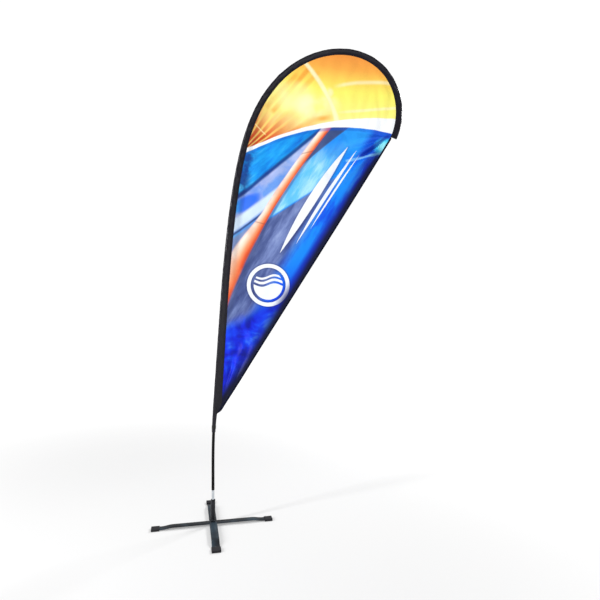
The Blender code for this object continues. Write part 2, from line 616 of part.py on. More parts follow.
def grown_cuff_ring(distance, growth):
    """Return the cuff's outline, grown about the pole so that it clears the cuff all round."""
    centre = LINE.at(distance)[0]
    outline = pocket_ring(distance, sleeve_radius(distance), cuff_reach(distance), SEAM_THICK / 2)
    factor = 1 + growth / sleeve_radius(distance)
    return [centre + (point - centre) * factor for point in outline]


def bottom_cuff(parent):
    """Build the cuff that draws the sleeve in onto the pole, and the strap round it."""
    strap_end = STRAP_START + STRAP_WIDTH
    cuff_end = SLEEVE_START - TOUCH
    stations = [CUFF_START, STRAP_START]
    stations += [strap_end + (cuff_end - strap_end) * k / CUFF_STEPS for k in range(CUFF_STEPS + 1)]
    finish_object("bottom_cuff", pocket(stations, cuff_reach),
                  material("bottom_cuff", (0.012, 0.012, 0.014), 0.8), parent)
    outer = [grown_cuff_ring(d, 2 * TOUCH + STRAP_THICK) for d in (STRAP_START, strap_end)]
    inner = [grown_cuff_ring(d, 2 * TOUCH) for d in (strap_end, STRAP_START)]
    finish_object("cuff_strap", loft(outer + inner, closed=True),
                  material("cuff_strap", (0.01, 0.01, 0.012), 0.7), parent)


def tip_patch(parent):
    """Build the doubled webbing that closes the sleeve over the pole's tip."""
    inward = LINE.at(POLE_LENGTH)[1]
    onward = Vector((-inward.z, 0.0, inward.x))
    outline = pocket_ring(POLE_LENGTH, sleeve_radius(POLE_LENGTH), sleeve_reach(POLE_LENGTH), SEAM_THICK / 2)
    rings = [[p + onward * TOUCH for p in outline], [p + onward * (TOUCH + TIP_PATCH) for p in outline]]
    finish_object("tip_patch", loft(rings, closed=False), material("tip_patch", (0.012, 0.012, 0.014), 0.8), parent)


def seam_point(distance, beyond=0.0):
    """Return the point of the sleeve's seam, or one that lies beyond it towards the panel."""
    centre, inward = LINE.at(distance)
    return centre + inward * (sleeve_reach(distance) + beyond)


def flat_piece(outline, thickness):
    """Extrude an outline in the flag's plane to both sides of it."""
    built = bmesh.new()
    face = built.faces.new([built.verts.new(point + Vector((0, -thickness / 2, 0))) for point in outline])
    pushed = bmesh.ops.extrude_face_region(built, geom=[face])
    moved = [v for v in pushed["geom"] if isinstance(v, bmesh.types.BMVert)]
    bmesh.ops.translate(built, verts=moved, vec=(0, thickness, 0))
    return built


def panel_and_hem(parent):
    """Build the printed panel, and the hem along its straight free edge."""
    low_corner = seam_point(SLEEVE_START)
    tip_corner = seam_point(POLE_LENGTH)
    along = (tip_corner - low_corner).normalized()
    outward = Vector((along.z, 0.0, -along.x))
    inset = 5 * TOUCH

    def depth(point):
        return -(point - low_corner).dot(outward)

    curved = [seam_point(d, TOUCH) for d in sleeve_stations()]
    while depth(curved[0]) < inset:
        curved.pop(0)
    low_end = curved[0] + outward * (depth(curved[0]) - TOUCH)
    finish_object("flag_panel", flat_piece([*curved, low_end], PANEL_THICK),
                  material("flag_panel", (0.05, 0.30, 0.95), 0.6), parent)
    start = low_corner + along * 2 * inset
    end = tip_corner - along * (TIP_PATCH + inset)
    strip = [start, start + outward * HEM_WIDTH, end + outward * HEM_WIDTH, end]
    finish_object("free_edge_hem", flat_piece(strip, HEM_THICK),
                  material("free_edge_hem", (0.01, 0.02, 0.20), 0.65), parent)


# ---------------------------------------------------------------- the whole object
def main():
    """Clear the scene and build every sub-part under the empty of the joint it moves with."""
    for old in list(bpy.data.objects):
        bpy.data.objects.remove(old, do_unlink=True)
    fixed = axis_empty("fixed_base")
    fold = axis_empty("bar_fold_axis", fixed)
    cages = axis_empty("ball_cage_axis", fixed)
    rotor = axis_empty("spindle_spin_axis", fixed)
    lifted = axis_empty("pole_lift_axis", rotor)
    base_bar("lower_bar", LOWER_BAR_LOW, BASE_YAW, fixed)
    foot_cap("foot_cap_right", BASE_YAW, fixed)
    foot_cap("foot_cap_left", BASE_YAW + 180, fixed)
    base_bar("upper_bar", UPPER_BAR_LOW, BASE_YAW + 90, fold)
    foot_cap("foot_cap_back", BASE_YAW + 90, fold)
    foot_cap("foot_cap_front", BASE_YAW + 270, fold)
    pivot_fasteners(fixed)
    spindle_housing(fixed)
    bearing_stack(fixed, rotor, cages)
    spindle_shaft(rotor)
    pole_bush(lifted)
    pole_sections(lifted)
    tip_cap(lifted)
    bottom_cuff(lifted)
    pole_sleeve(lifted)
    tip_patch(lifted)
    panel_and_hem(lifted)


main()
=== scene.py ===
"""Looks of a teardrop flag: stretched printed cloth on a bent pole, a ball-bearing spindle and a cross base.

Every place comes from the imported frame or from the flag's own cut.  Metres, +Z up, the flag in the XZ plane.
"""
import logging
import math
from dataclasses import dataclass, field
from enum import Enum
from typing import Callable, Iterable, Optional, Sequence, Union

import bmesh
import bpy
import numpy as np
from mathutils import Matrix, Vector, noise
from mathutils.geometry import delaunay_2d_cdt


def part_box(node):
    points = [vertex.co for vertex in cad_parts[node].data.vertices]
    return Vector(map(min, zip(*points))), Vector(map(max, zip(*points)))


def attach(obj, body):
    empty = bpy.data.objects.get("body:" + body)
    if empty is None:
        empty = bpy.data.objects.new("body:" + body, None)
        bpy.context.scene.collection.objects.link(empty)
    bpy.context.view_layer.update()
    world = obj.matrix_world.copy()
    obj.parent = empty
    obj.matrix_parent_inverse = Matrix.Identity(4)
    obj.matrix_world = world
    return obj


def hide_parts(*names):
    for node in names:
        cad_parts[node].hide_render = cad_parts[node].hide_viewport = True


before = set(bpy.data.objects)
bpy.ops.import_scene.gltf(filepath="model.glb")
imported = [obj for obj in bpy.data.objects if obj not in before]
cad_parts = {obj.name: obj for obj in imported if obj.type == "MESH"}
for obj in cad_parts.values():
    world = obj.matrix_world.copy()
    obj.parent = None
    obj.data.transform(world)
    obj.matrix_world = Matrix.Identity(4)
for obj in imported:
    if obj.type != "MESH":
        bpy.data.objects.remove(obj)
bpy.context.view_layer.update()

log = logging.getLogger("flag")
NODES: dict[str, bpy.types.Object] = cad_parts
Colour = tuple[float, float, float]
Spot = tuple[float, float]
Ring = list[Vector]
Outline = Sequence[Spot]
Socket = bpy.types.NodeSocket
Tint = Union[str, Colour, Socket]


class Body(Enum):
    """The bodies that new pieces ride on."""

    BASE = "base"
    UPPER_LEG = "upper_leg"
    ROTOR = "rotor"
    POLE = "pole"


class Slot(Enum):
    """The record's material slots, one listed with each new piece."""

    BAR = "bar_steel"
    FOOT = "foot_rubber"
    FASTENER = "fastener_steel"
    NYLON = "washer_nylon"
    HOUSING = "housing_paint"
    SEAL = "seal_rubber"
    CHROME = "spindle_chrome"
    POLE = "pole_composite"
    SLEEVE = "sleeve_fabric"
    WEBBING = "webbing"
    PRINT = "printed_polyester"
    HEM = "hem_fabric"


def linear(code: str) -> Colour:
    """Turn a six-figure colour code into linear light.

    Args:
        code: Red, green and blue as two hexadecimal figures each.

    Returns:
        The three linear values.
    """
    values = [int(code[k:k + 2], 16) / 255 for k in (0, 2, 4)]
    return tuple(v / 12.92 if v <= 0.04045 else ((v + 0.055) / 1.055) ** 2.4 for v in values)


def smooth(value: float, low: float, high: float) -> float:
    """Return a smooth step from 0 at low to 1 at high, which may be the lower number."""
    t = min(max((value - low) / (high - low), 0.0), 1.0)
    return t * t * (3 - 2 * t)


# ---------------------------------------------------------------- shader maths
class Signal:
    """A number that varies over a surface, which takes part in arithmetic."""

    def __init__(self, shader: "Shader", socket: Socket) -> None:
        """Wrap a node's output socket."""
        self.shader = shader
        self.socket = socket

    def math(self, operation: str, *others: "Operand") -> "Signal":
        """Add a Math node that takes this signal first.

        Args:
            operation: The Math node's operation.
            others: Its other operands.

        Returns:
            The result.
        """
        node = self.shader.node("ShaderNodeMath", {"operation": operation}, dict(enumerate((self, *others))))
        return Signal(self.shader, node.outputs[0])

    def _flipped(self, operation: str, other: float) -> "Signal":
        """Return a constant on the left of an operation on this signal."""
        node = self.shader.node("ShaderNodeMath", {"operation": operation}, {0: other, 1: self})
        return Signal(self.shader, node.outputs[0])

    def __add__(self, other: "Operand") -> "Signal":
        """Return self + other."""
        return self.math("ADD", other)

    def __radd__(self, other: "Operand") -> "Signal":
        """Return other + self."""
        return self.math("ADD", other)

    def __sub__(self, other: "Operand") -> "Signal":
        """Return self - other."""
        return self.math("SUBTRACT", other)

    def __rsub__(self, other: "Operand") -> "Signal":
        """Return other - self."""
        return self._flipped("SUBTRACT", other)

    def __mul__(self, other: "Operand") -> "Signal":
        """Return self * other."""
        return self.math("MULTIPLY", other)

    def __rmul__(self, other: "Operand") -> "Signal":
        """Return other * self."""
        return self.math("MULTIPLY", other)

    def __truediv__(self, other: "Operand") -> "Signal":
        """Return self / other."""
        return self.math("DIVIDE", other)

    def __abs__(self) -> "Signal":
        """Return the size of self without its sign."""
        return self.math("ABSOLUTE")

    def rise(self, low: float, high: float) -> "Signal":
        """Return 0 at low and 1 at high, with a smooth step between; low may be the larger."""
        node = self.shader.node("ShaderNodeMapRange", {"interpolation_type": "SMOOTHSTEP"},
                                {"Value": self, "From Min": low, "From Max": high})
        return Signal(self.shader, node.outputs[0])

    def band(self, centre: "Operand", half: float, soft: float) -> "Signal":
        """Return 1 within half of a centre, falling to 0 over soft."""
        return 1.0 - abs(self - centre).rise(half, half + soft)


class Shader:
    """One material's node tree."""

    def __init__(self, name: str) -> None:
        """Start a material with a Principled shader.

        Args:
            name: The material's name.
        """
        self.material = bpy.data.materials.new(name)
        self.material.use_nodes = True
        self.tree = self.material.node_tree
        self.surface = self.tree.nodes["Principled BSDF"]

    def node(self, kind: str, settings: Optional[dict] = None, inputs: Optional[dict] = None) -> bpy.types.Node:
        """Add a node.

        Args:
            kind: The node's type.
            settings: Its properties, or under "stops" a ramp's places and colour codes.
            inputs: Values, signals or sockets, by input name or number.

        Returns:
            The node.
        """
        made = self.tree.nodes.new(kind)
        for key, value in (settings or {}).items():
            if key == "stops":
                ramp = made.color_ramp
                while len(ramp.elements) > 1:
                    ramp.elements.remove(ramp.elements[-1])
                first = ramp.elements[0]
                first.position, first.color = value[0][0], (*linear(value[0][1]), 1.0)
                for place, code in value[1:]:
                    ramp.elements.new(place).color = (*linear(code), 1.0)
            else:
                setattr(made, key, value)
        for key, value in (inputs or {}).items():
            self.feed(made.inputs[key], value)
        return made

    def feed(self, socket: Socket, value: object) -> None:
        """Set a socket's value, or link what feeds it.

        Args:
            socket: The input.
            value: A number, a vector, a colour or its code, a signal, or another node's output.
        """
        if isinstance(value, Signal):
            value = value.socket
        elif isinstance(value, str):
            value = linear(value)
        if isinstance(value, Socket):
            self.tree.links.new(value, socket)
        elif isinstance(value, (tuple, list)) and len(value) == 3 and socket.type == "RGBA":
            socket.default_value = (*value, 1.0)
        else:
            socket.default_value = value

    def set(self, **values: object) -> None:
        """Set or feed the Principled shader's sockets, with _ for a space in each name."""
        for key, value in values.items():
            self.feed(self.surface.inputs[key.replace("_", " ")], value)

    def place(self) -> Socket:
        """Return the object's own coordinates."""
        return self.node("ShaderNodeTexCoord").outputs["Object"]

    def axes(self) -> tuple[Signal, Signal, Signal]:
        """Return x, y and z of the object's own coordinates."""
        split = self.node("ShaderNodeSeparateXYZ", None, {0: self.place()})
        return tuple(Signal(self, split.outputs[k]) for k in range(3))

    def noise(self, scale: float, detail: float = 2.0, rough: float = 0.5, at: Optional[Socket] = None,
              warp: float = 0.0) -> Signal:
        """Return cloudy noise between about 0 and 1.

        Args:
            scale: How many clouds there are to a metre.
            detail: Octaves.
            rough: Strength of each octave against the one before.
            at: The coordinates, or the object's own.
            warp: How far the clouds are drawn out of shape.

        Returns:
            The noise.
        """
        made = self.node("ShaderNodeTexNoise", None,
                         {"Vector": at if at is not None else self.place(), "Scale": scale,
                          "Detail": detail, "Roughness": rough, "Distortion": warp})
        return Signal(self, made.outputs[0])

    def stretched(self, scale: Sequence[float], turn: float = 0.0) -> Socket:
        """Turn the object's coordinates about Y, then scale them.

        Args:
            scale: The scale along each axis.
            turn: The turn in radians.

        Returns:
            The coordinates.
        """
        turned = self.node("ShaderNodeVectorRotate", {"rotation_type": "Y_AXIS"},
                           {"Vector": self.place(), "Angle": turn}).outputs[0]
        return self.node("ShaderNodeVectorMath", {"operation": "MULTIPLY"},
                         {0: turned, 1: tuple(scale)}).outputs[0]

    def mix(self, factor: "Operand", low: Tint, high: Tint) -> Socket:
        """Mix two colours.

        Args:
            factor: 0 for low, 1 for high.
            low: The first colour.
            high: The second colour.

        Returns:
            The colour socket.
        """
        return self.node("ShaderNodeMix", {"data_type": "RGBA"}, {0: factor, 6: low, 7: high}).outputs[2]

    def layered(self, colour: Tint, *layers: tuple[Signal, Tint]) -> Tint:
        """Lay tints over a colour.

        Args:
            colour: What lies below.
            layers: The masks in order, each with its tint.

        Returns:
            The colour on top.
        """
        for mask, tint in layers:
            colour = self.mix(mask, colour, tint)
        return colour

    def ramp(self, factor: Signal, stops: Sequence[tuple[float, str]]) -> Socket:
        """Return a colour that follows a factor through stops."""
        return self.node("ShaderNodeValToRGB", {"stops": stops}, {0: factor}).outputs[0]

    def bump(self, height: Signal, depth: float, strength: float) -> Socket:
        """Return a normal bent by a height signal whose full range is depth metres."""
        inputs = {"Height": height, "Distance": depth, "Strength": strength}
        return self.node("ShaderNodeBump", None, inputs).outputs[0]


Operand = Union[Signal, float]


# ---------------------------------------------------------------- finishes
@dataclass(frozen=True)
class Finish:
    """A surface's look, made into one shared material."""

    name: str
    colour: str
    roughness: float

    def dress(self, shader: Shader) -> None:
        """Build the nodes of this finish."""
        raise NotImplementedError

    def material(self) -> bpy.types.Material:
        """Make this finish's material, or find it again.

        Returns:
            The one material that every piece of this finish shares.
        """
        made = bpy.data.materials.get(self.name)
        if made is None:
            shader = Shader(self.name)
            self.dress(shader)
            made = shader.material
        return made


@dataclass(frozen=True)
class PowderCoat(Finish):
    """Baked paint with orange peel, rubbed lighter in streaks and dusty in patches."""

    rubbed: Tint = (0.2, 0.22, 0.24)
    grain: float = 900.0

    def dress(self, shader: Shader) -> None:
        """Build orange peel, rubbing and dust.

        Args:
            shader: The material being made.
        """
        peel = shader.noise(self.grain, 2.0)
        cloud = shader.noise(6.0, 4.0, 0.6)
        scuff = shader.noise(60.0, 6.0, 0.7, at=shader.stretched((1.0, 1.0, 6.0)))
        worn = scuff.rise(0.60, 0.72) * 0.4
        colour = shader.mix(cloud.rise(0.38, 0.70) * 0.55, self.colour, self.rubbed)
        shader.set(Base_Color=shader.mix(worn, colour, self.rubbed), Metallic=0.0, Specular_IOR_Level=0.35,
                   Roughness=self.roughness + 0.16 * cloud - 0.08,
                   Normal=shader.bump(peel, 0.00006, 0.5))


@dataclass(frozen=True)
class Rubber(Finish):
    """Moulded rubber, matt, with a grained skin and pale scuffs."""

    scuff: Tint = (0.09, 0.09, 0.09)

    def dress(self, shader: Shader) -> None:
        """Build the grain and the scuffs.

        Args:
            shader: The material being made.
        """
        grain = shader.noise(1400.0, 3.0, 0.7)
        rubbed = shader.noise(38.0, 5.0, 0.7).rise(0.56, 0.74)
        shader.set(Base_Color=shader.mix(rubbed * 0.5, self.colour, self.scuff),
                   Specular_IOR_Level=0.2, Roughness=self.roughness + 0.1 * rubbed,
                   Normal=shader.bump(grain, 0.00008, 0.7))


@dataclass(frozen=True)
class Metal(Finish):
    """Bare or plated metal with fine lines along or round it."""

    lines: tuple[float, float, float] = (300.0, 300.0, 6000.0)
    line_depth: float = 0.000008
    tarnish: Tint = (0.1, 0.1, 0.1)
    tarnish_share: float = 0.3

    def dress(self, shader: Shader) -> None:
        """Build tool lines and tarnish.

        Args:
            shader: The material being made.
        """
        lines = shader.noise(1.0, 3.0, 0.6, at=shader.stretched(self.lines))
        cloud = shader.noise(45.0, 4.0, 0.6).rise(0.45, 0.75)
        shader.set(Base_Color=shader.mix(cloud * self.tarnish_share, self.colour, self.tarnish), Metallic=1.0,
                   Roughness=self.roughness + 0.08 * lines + 0.1 * cloud,
                   Normal=shader.bump(lines, self.line_depth, 0.6))


@dataclass(frozen=True)
class Plastic(Finish):
    """Moulded plastic or composite with a faint lengthways grain."""

    grain: tuple[float, float, float] = (500.0, 500.0, 60.0)
    gloss: float = 0.5

    def dress(self, shader: Shader) -> None:
        """Build the grain and small differences in gloss.

        Args:
            shader: The material being made.
        """
        grain = shader.noise(1.0, 3.0, 0.6, at=shader.stretched(self.grain))
        cloud = shader.noise(30.0, 3.0)
        lighter = tuple(min(c * 1.8 + 0.01, 1.0) for c in linear(self.colour))
        shader.set(Base_Color=shader.mix(grain.rise(0.4, 0.7) * 0.4, self.colour, lighter),
                   Specular_IOR_Level=self.gloss, Roughness=self.roughness + 0.12 * cloud - 0.05,
                   Normal=shader.bump(grain, 0.00003, 0.5))


@dataclass(frozen=True)
class Woven(Finish):
    """Woven or knitted cloth: crossing yarns on the piece's own UV map, in metres."""

    yarn: float = 0.0007
    painted_sheen: Tint = (0.1, 0.09, 0.14)
    depth: float = 0.00012
    diagonal: bool = False
    gloss: float = 0.16

    def yarns(self, shader: Shader) -> Signal:
        """Cross warp and weft yarns.

        Args:
            shader: The material being made.

        Returns:
            The yarns' height, 0 in the gaps and 1 on top.
        """
        uv = shader.node("ShaderNodeUVMap", {"uv_map": "cloth"}).outputs[0]
        split = shader.node("ShaderNodeSeparateXYZ", None, {0: uv})
        across, along = (Signal(shader, split.outputs[k]) for k in (0, 1))
        if self.diagonal:
            across, along = across + along, along - across
        turn = 2 * math.pi / self.yarn
        warp = (across * turn).math("SINE")
        weft = (along * turn).math("SINE")
        over = ((across * (turn / 2)).math("SINE") * (along * (turn / 2)).math("SINE")).rise(-0.3, 0.3)
        return (warp * over + weft * (1.0 - over)) * 0.5 + 0.5

    def dress(self, shader: Shader) -> None:
        """Build the weave with a painted sheen on the yarns' tops and in cloudy patches, and uneven roughness.

        Args:
            shader: The material being made.
        """
        weave = self.yarns(shader)
        cloud = shader.noise(14.0, 4.0, 0.6)
        # Painted sheen: the yarns' tops and cloudy patches are lightened towards the sheen colour.
        colour = shader.mix(weave * 0.35 + cloud.rise(0.4, 0.8) * 0.25, self.colour, self.painted_sheen)
        shader.set(Base_Color=colour, Roughness=self.roughness + 0.1 * cloud - 0.05,
                   Specular_IOR_Level=self.gloss, Normal=shader.bump(weave, self.depth, 0.5))


Ray = tuple[float, float, float]        # its direction and half width in degrees, and its length
Strand = tuple[Spot, Spot, float]       # start, end and strength


@dataclass(frozen=True)
class PrintedCloth(Woven):
    """Polyester with an abstract print: a warm sky over a white sweep, and blues crossed by a warm ribbon.

    The print is drawn in the flag's own plane in metres, so both faces carry it.
    """

    foot: Spot = (0.03, 0.744)
    along: Spot = (0.5314, 0.8471)
    fan_at: Spot = (0.17, 2.49)
    embers: tuple[Ray, ...] = ((65.5, 1.6, 0.50), (57.5, 1.4, 0.42), (48.5, 1.6, 0.46), (40.0, 3.2, 0.60),
                               (31.5, 4.2, 0.62), (23.0, 4.2, 0.84))
    pale_rays: tuple[Ray, ...] = ((60.0, 0.4, 0.75), (51.0, 0.5, 0.80), (43.0, 0.4, 0.70), (35.2, 0.3, 0.6))
    strands: tuple[Strand, ...] = (((0.40, 2.80), (0.66, 3.10), 0.8), ((0.36, 2.83), (0.58, 3.06), 0.55),
                                   ((0.52, 2.86), (0.72, 3.07), 0.45))
    ring_at: Spot = (0.925, 0.176)
    ring: float = 0.132
    disc: float = 0.098

    def edge_axes(self, x: Signal, z: Signal) -> tuple[Signal, Signal]:
        """Turn a place on the flag into one beside its free edge.

        Args:
            x: Place in the flag's plane.
            z: Height.

        Returns:
            The distance up the free edge, and the depth in from it.
        """
        up = (x - self.foot[0]) * self.along[0] + (z - self.foot[1]) * self.along[1]
        depth = (z - self.foot[1]) * self.along[0] - (x - self.foot[0]) * self.along[1]
        return up, depth

    def ray(self, reach: Signal, angle: Signal, toward: float, half: float, length: float) -> Signal:
        """Draw one soft ray of the warm fan.

        Args:
            reach: Distance from the fan's centre.
            angle: Direction from the fan's centre.
            toward: The ray's direction in degrees.
            half: Half its width in degrees.
            length: How far it goes.

        Returns:
            The ray's mask.
        """
        beam = (angle - math.radians(toward)).band(0.0, math.radians(half * 0.6), math.radians(half + 1.8))
        return beam * reach.rise(length, length * 0.30)

    def blot(self, x: Signal, z: Signal, at: Spot, size: Spot, full: float, gone: float) -> Signal:
        """Draw a soft oval patch.

        Args:
            x: Place in the flag's plane.
            z: Height.
            at: Its centre.
            size: Half its width and half its height.
            full: Where it starts to fade, as the square of a share of its size.
            gone: Where it ends, in the same way.

        Returns:
            The patch's mask.
        """
        across, above = (x - at[0]) / size[0], (z - at[1]) / size[1]
        return 1.0 - (across * across + above * above).rise(full, gone)

    def line(self, x: Signal, z: Signal, start: Spot, end: Spot, half: float, soft: float) -> Signal:
        """Draw a soft straight line in the flag's plane.

        Args:
            x: Place in the flag's plane.
            z: Height.
            start: Where the line starts.
            end: Where it ends.
            half: Half its width.
            soft: Width of its edge.

        Returns:
            The line's mask.
        """
        span = Vector(end) - Vector(start)
        length = span.length
        ux, uz = span.x / length, span.y / length
        over = (x - start[0]) * ux + (z - start[1]) * uz
        off = (z - start[1]) * ux - (x - start[0]) * uz
        return off.band(0.0, half, soft) * over.rise(-soft, soft) * over.rise(length + soft, length - 2 * soft)

    def sky(self, shader: Shader, x: Signal, z: Signal) -> Socket:
        """Paint the warm upper part: yellow into orange, a fan of rays at its left and a soft flare.

        Args:
            shader: The material being made.
            x: Place in the flag's plane.
            z: Height.

        Returns:
            The sky's colour.
        """
        height = z + 0.12 * (x - 0.75) + 0.05 * (shader.noise(3.0, 3.0) - 0.5)
        colour = shader.ramp((height - 2.72) / 0.46, (
            (0.0, "fbf4a0"), (0.2, "fbf480"), (0.50, "f9ee68"), (0.68, "f8cf56"), (0.83, "f7ac46"),
            (1.0, "ee963c")))
        side = (0.62 - x + 0.5 * (z - 2.9)).rise(0.0, 0.42)
        mottle = shader.noise(6.0, 4.0, 0.6, at=shader.stretched((1.0, 1.0, 3.2), turn=math.radians(48)))
        ray_x, ray_z = x - self.fan_at[0], z - self.fan_at[1]
        reach = (ray_x * ray_x + ray_z * ray_z).math("SQRT")
        angle = ray_z.math("ARCTAN2", ray_x)
        fan = reach.rise(0.42, 0.16)
        for ray in self.embers:
            fan = fan.math("MAXIMUM", self.ray(reach, angle, *ray))
        ember = shader.ramp(reach / 0.5, ((0.15, "b03008"), (0.55, "cc4408"), (0.85, "e06812"), (1.0, "f09a34")))
        colour = shader.layered(
            colour, (side * 0.30, "f4bd4a"), (mottle.rise(0.46, 0.74) * x.rise(0.95, 0.45) * 0.22, "f0a838"),
            (reach.rise(0.52, 0.20) * 0.6, "f3a23c"), (fan * 0.96, ember),
            *((self.ray(reach, angle, *ray) * 0.65, "fbe277") for ray in self.pale_rays),
            *((self.line(x, z, start, end, 0.006, 0.020) * share, "ea9a34") for start, end, share in self.strands))

        drop = 3.13 - z
        streak = (x - 0.620 - 0.86 * drop + 0.78 * drop * drop).band(0.0, 0.005, 0.022) * 0.85
        blob = shader.noise(6.0, 2.0).rise(0.30, 0.66)
        glow = self.blot(x, z, (0.70, 2.835), (0.16, 0.09), 0.0, 1.4) * blob * 0.9
        knot = self.blot(x, z, (0.775, 2.925), (0.045, 0.045), 0.1, 1.2) * blob * 0.8
        haze = self.blot(x, z, (0.52, 2.90), (0.20, 0.11), 0.0, 1.3)
        arc_low = 2.790 + 0.07 * (x - 0.84)
        arc_high = 2.978 + 0.06 * (x - 0.80) - 0.45 * (x - 1.0) * (x - 1.0)
        arcs = (z.band(arc_low, 0.002, 0.014) * x.rise(0.78, 0.98)
                + z.band(arc_high, 0.001, 0.020) * x.rise(0.80, 0.90)) * 0.62
        pale = streak.math("MAXIMUM", glow).math("MAXIMUM", arcs).math("MAXIMUM", knot)
        spark = self.line(x, z, (0.285, 2.712), (0.355, 2.645), 0.001, 0.006)
        patch = (z - 2.752 - 0.14 * (x - 0.75)).band(0.0, 0.002, 0.026) * x.band(0.745, 0.0, 0.085)
        return shader.layered(colour, (haze * 0.75, shader.mix(blob, "fbee88", "fbf7ac")), (pale, "fdf3c4"),
                              (spark * 0.7, "ffe9a4"), (patch * 0.8, "f2a438"))

    def ribbon_line(self, z: Signal) -> Signal:
        """Return the ribbon's x at a height."""
        rise = z - 1.64
        return 0.122 + 0.412 * rise + 0.196 * rise * rise

    def blues(self, shader: Shader, x: Signal, z: Signal, up: Signal, depth: Signal) -> Socket:
        """Paint the blue field: deep at the free edge and the foot, pale and slate patches inland, with painted
        crumple light and shade at the foot, and a painted glint, crease shade and crease highlight at the tip.

        Args:
            shader: The material being made.
            x: Place in the flag's plane.
            z: Height.
            up: Distance up the free edge.
            depth: Depth in from it.

        Returns:
            The field's colour.
        """
        brushed = shader.noise(1.0, 4.0, 0.6, at=shader.stretched((3.0, 1.0, 15.0), turn=math.radians(38)))
        steep = shader.noise(1.0, 4.0, 0.6, at=shader.stretched((3.0, 1.0, 13.0), turn=math.radians(58)))
        cloud = shader.noise(4.2, 4.0, 0.6, warp=0.6)
        colour = shader.ramp((depth + 0.05 * (steep - 0.5)) / 0.42, (
            (0.0, "0632c8"), (0.20, "0a48e2"), (0.38, "1568ee"), (0.62, "1f8bf4"), (1.0, "2a94f4")))
        azure = depth.rise(0.045, 0.085) * z.rise(1.50, 1.85) * steep.rise(0.34, 0.52)
        beside = x - self.ribbon_line(z)
        inland = beside.rise(-0.005, -0.03)
        left = shader.ramp(brushed, ((0.28, "0648b4"), (0.42, "0784e0"), (0.55, "1aa2f0"), (0.72, "5cc6fa")))
        left = shader.mix(self.edge_shade(shader, x, z) * 0.85, left, "0a2a8c")
        stripe_at = 2.247 + 0.814 * (x - 0.201)
        lilac_zone = (stripe_at - z).rise(0.0, 0.02) * (z - stripe_at).rise(-0.30, -0.16) * inland
        lilac = shader.ramp(cloud, ((0.35, "6f96e4"), (0.50, "a3b0e2"), (0.66, "c3c8ee")))
        pool = self.blot(x, z - 0.5 * (x - 0.215), (0.215, 2.175), (0.115, 0.060), 0.3, 1.2) * inland
        stripe = (z - stripe_at).band(0.0, 0.005, 0.022) * inland
        slanted = z - 0.75 * (x - 0.15)
        light = slanted.band(2.030, 0.026, 0.030) * inland
        under = slanted.band(1.972, 0.003, 0.010) * inland
        lower = slanted.rise(1.965, 1.935) * inland
        colour = shader.layered(
            colour, (steep.rise(0.47, 0.70) * z.rise(1.9, 2.4) * 0.7, "44b4fc"),
            (steep.rise(0.47, 0.30) * 0.55, "0850d8"), (azure * 0.85, "0b8cf4"),
            (x.rise(0.78, 0.95) * z.rise(2.46, 2.56) * 0.65, "2ea4fa"), (inland, left),
            (lilac_zone * 0.85, lilac), (pool * 0.9, shader.mix(x.rise(0.13, 0.21), "16a8ee", "1268f0")),
            (stripe * 0.9, "17327c"), (light * 0.88, "d9ecfb"), (under * 0.8, "26366e"), (lower * 0.85, "8592bc"))

        foot = z - 0.48 * (x - 0.10) + 0.06 * (cloud - 0.5)
        shelf = 2.115 + 0.62 * (x - 0.44)
        pale = beside.band(0.135, 0.05, 0.10) * (z - shelf).rise(-0.004, 0.012) * z.rise(2.62, 2.40)
        limit = 0.03 + 0.48 * (z - 2.42)
        wedge = beside.rise(0.018, 0.034) * (limit - beside).rise(0.0, 0.02)
        slate = ((shelf - z).rise(-0.004, 0.014) * beside.rise(-0.01, 0.02)
                 * (depth + 0.03 * (cloud - 0.5)).rise(0.115, 0.215) * foot.rise(1.28, 1.38))
        slates = shader.ramp(steep, ((0.30, "343a68"), (0.46, "525b8c"), (0.60, "7683b4"), (0.75, "98a6d0")))
        # Painted crumple light and shade: noise mottles the low blues lighter and darker where the cloth crumples
        # at the foot.
        crumple = shader.noise(6.5, 3.0, 0.55, warp=0.5)
        low = shader.ramp(crumple + 0.25 * (0.12 - depth), (
            (0.36, "0010a0"), (0.46, "0420d6"), (0.57, "0c44ee"), (0.68, "4a8cf4")))
        # Painted highlight at the tip: a cyan glint with a pale core where the cloth is pulled.
        far_at, far_size = (1.158, 2.552), (0.078, 0.070)
        painted_glint = self.blot(x, z, far_at, far_size, 0.25, 1.1)
        painted_glint_core = self.blot(x, z, far_at, far_size, 0.0, 0.42)
        # Over the print go painted crease shade at the tip (a deep blue corner and a dark line) and a painted
        # crease highlight (a pale line).
        return shader.layered(
            colour, (pale * 0.9, shader.mix(steep.rise(0.40, 0.62), "64c4f8", "b4ecf6")),
            (wedge * 0.92, shader.mix(cloud.rise(0.3, 0.7), "343b62", "4d5680")), (slate * 0.93, slates),
            (foot.rise(1.40, 1.29), low), (up.rise(1.90, 2.05) * depth.rise(0.16, 0.10) * 0.8, "0a3cd0"),
            (painted_glint * 0.9, shader.mix(brushed.rise(0.4, 0.62), "1c9cf0", "4ee0fc")), (painted_glint_core * 0.8, "a4f4fc"),
            (self.line(x, z, (1.00, 2.495), (1.20, 2.64), 0.005, 0.012) * 0.75, "0a1f9a"),
            (self.line(x, z, (0.90, 2.462), (1.15, 2.516), 0.003, 0.009) * 0.75, "8ad0fc"))

    def edge_shade(self, shader: Shader, x: Signal, z: Signal) -> Signal:
        """Darken the blue against the sleeve, in uneven patches.

        Args:
            shader: The material being made.
            x: Place in the flag's plane.
            z: Height.

        Returns:
            The shade's mask.
        """
        sleeve_at = 0.085 + 0.17 * (z - 1.9) + 0.10 * (z - 1.9) * (z - 1.9)
        patch = shader.noise(8.0, 3.0, 0.6)
        return (x - sleeve_at).rise(0.10, 0.035) * patch.rise(0.38, 0.56) * z.rise(2.10, 2.25)

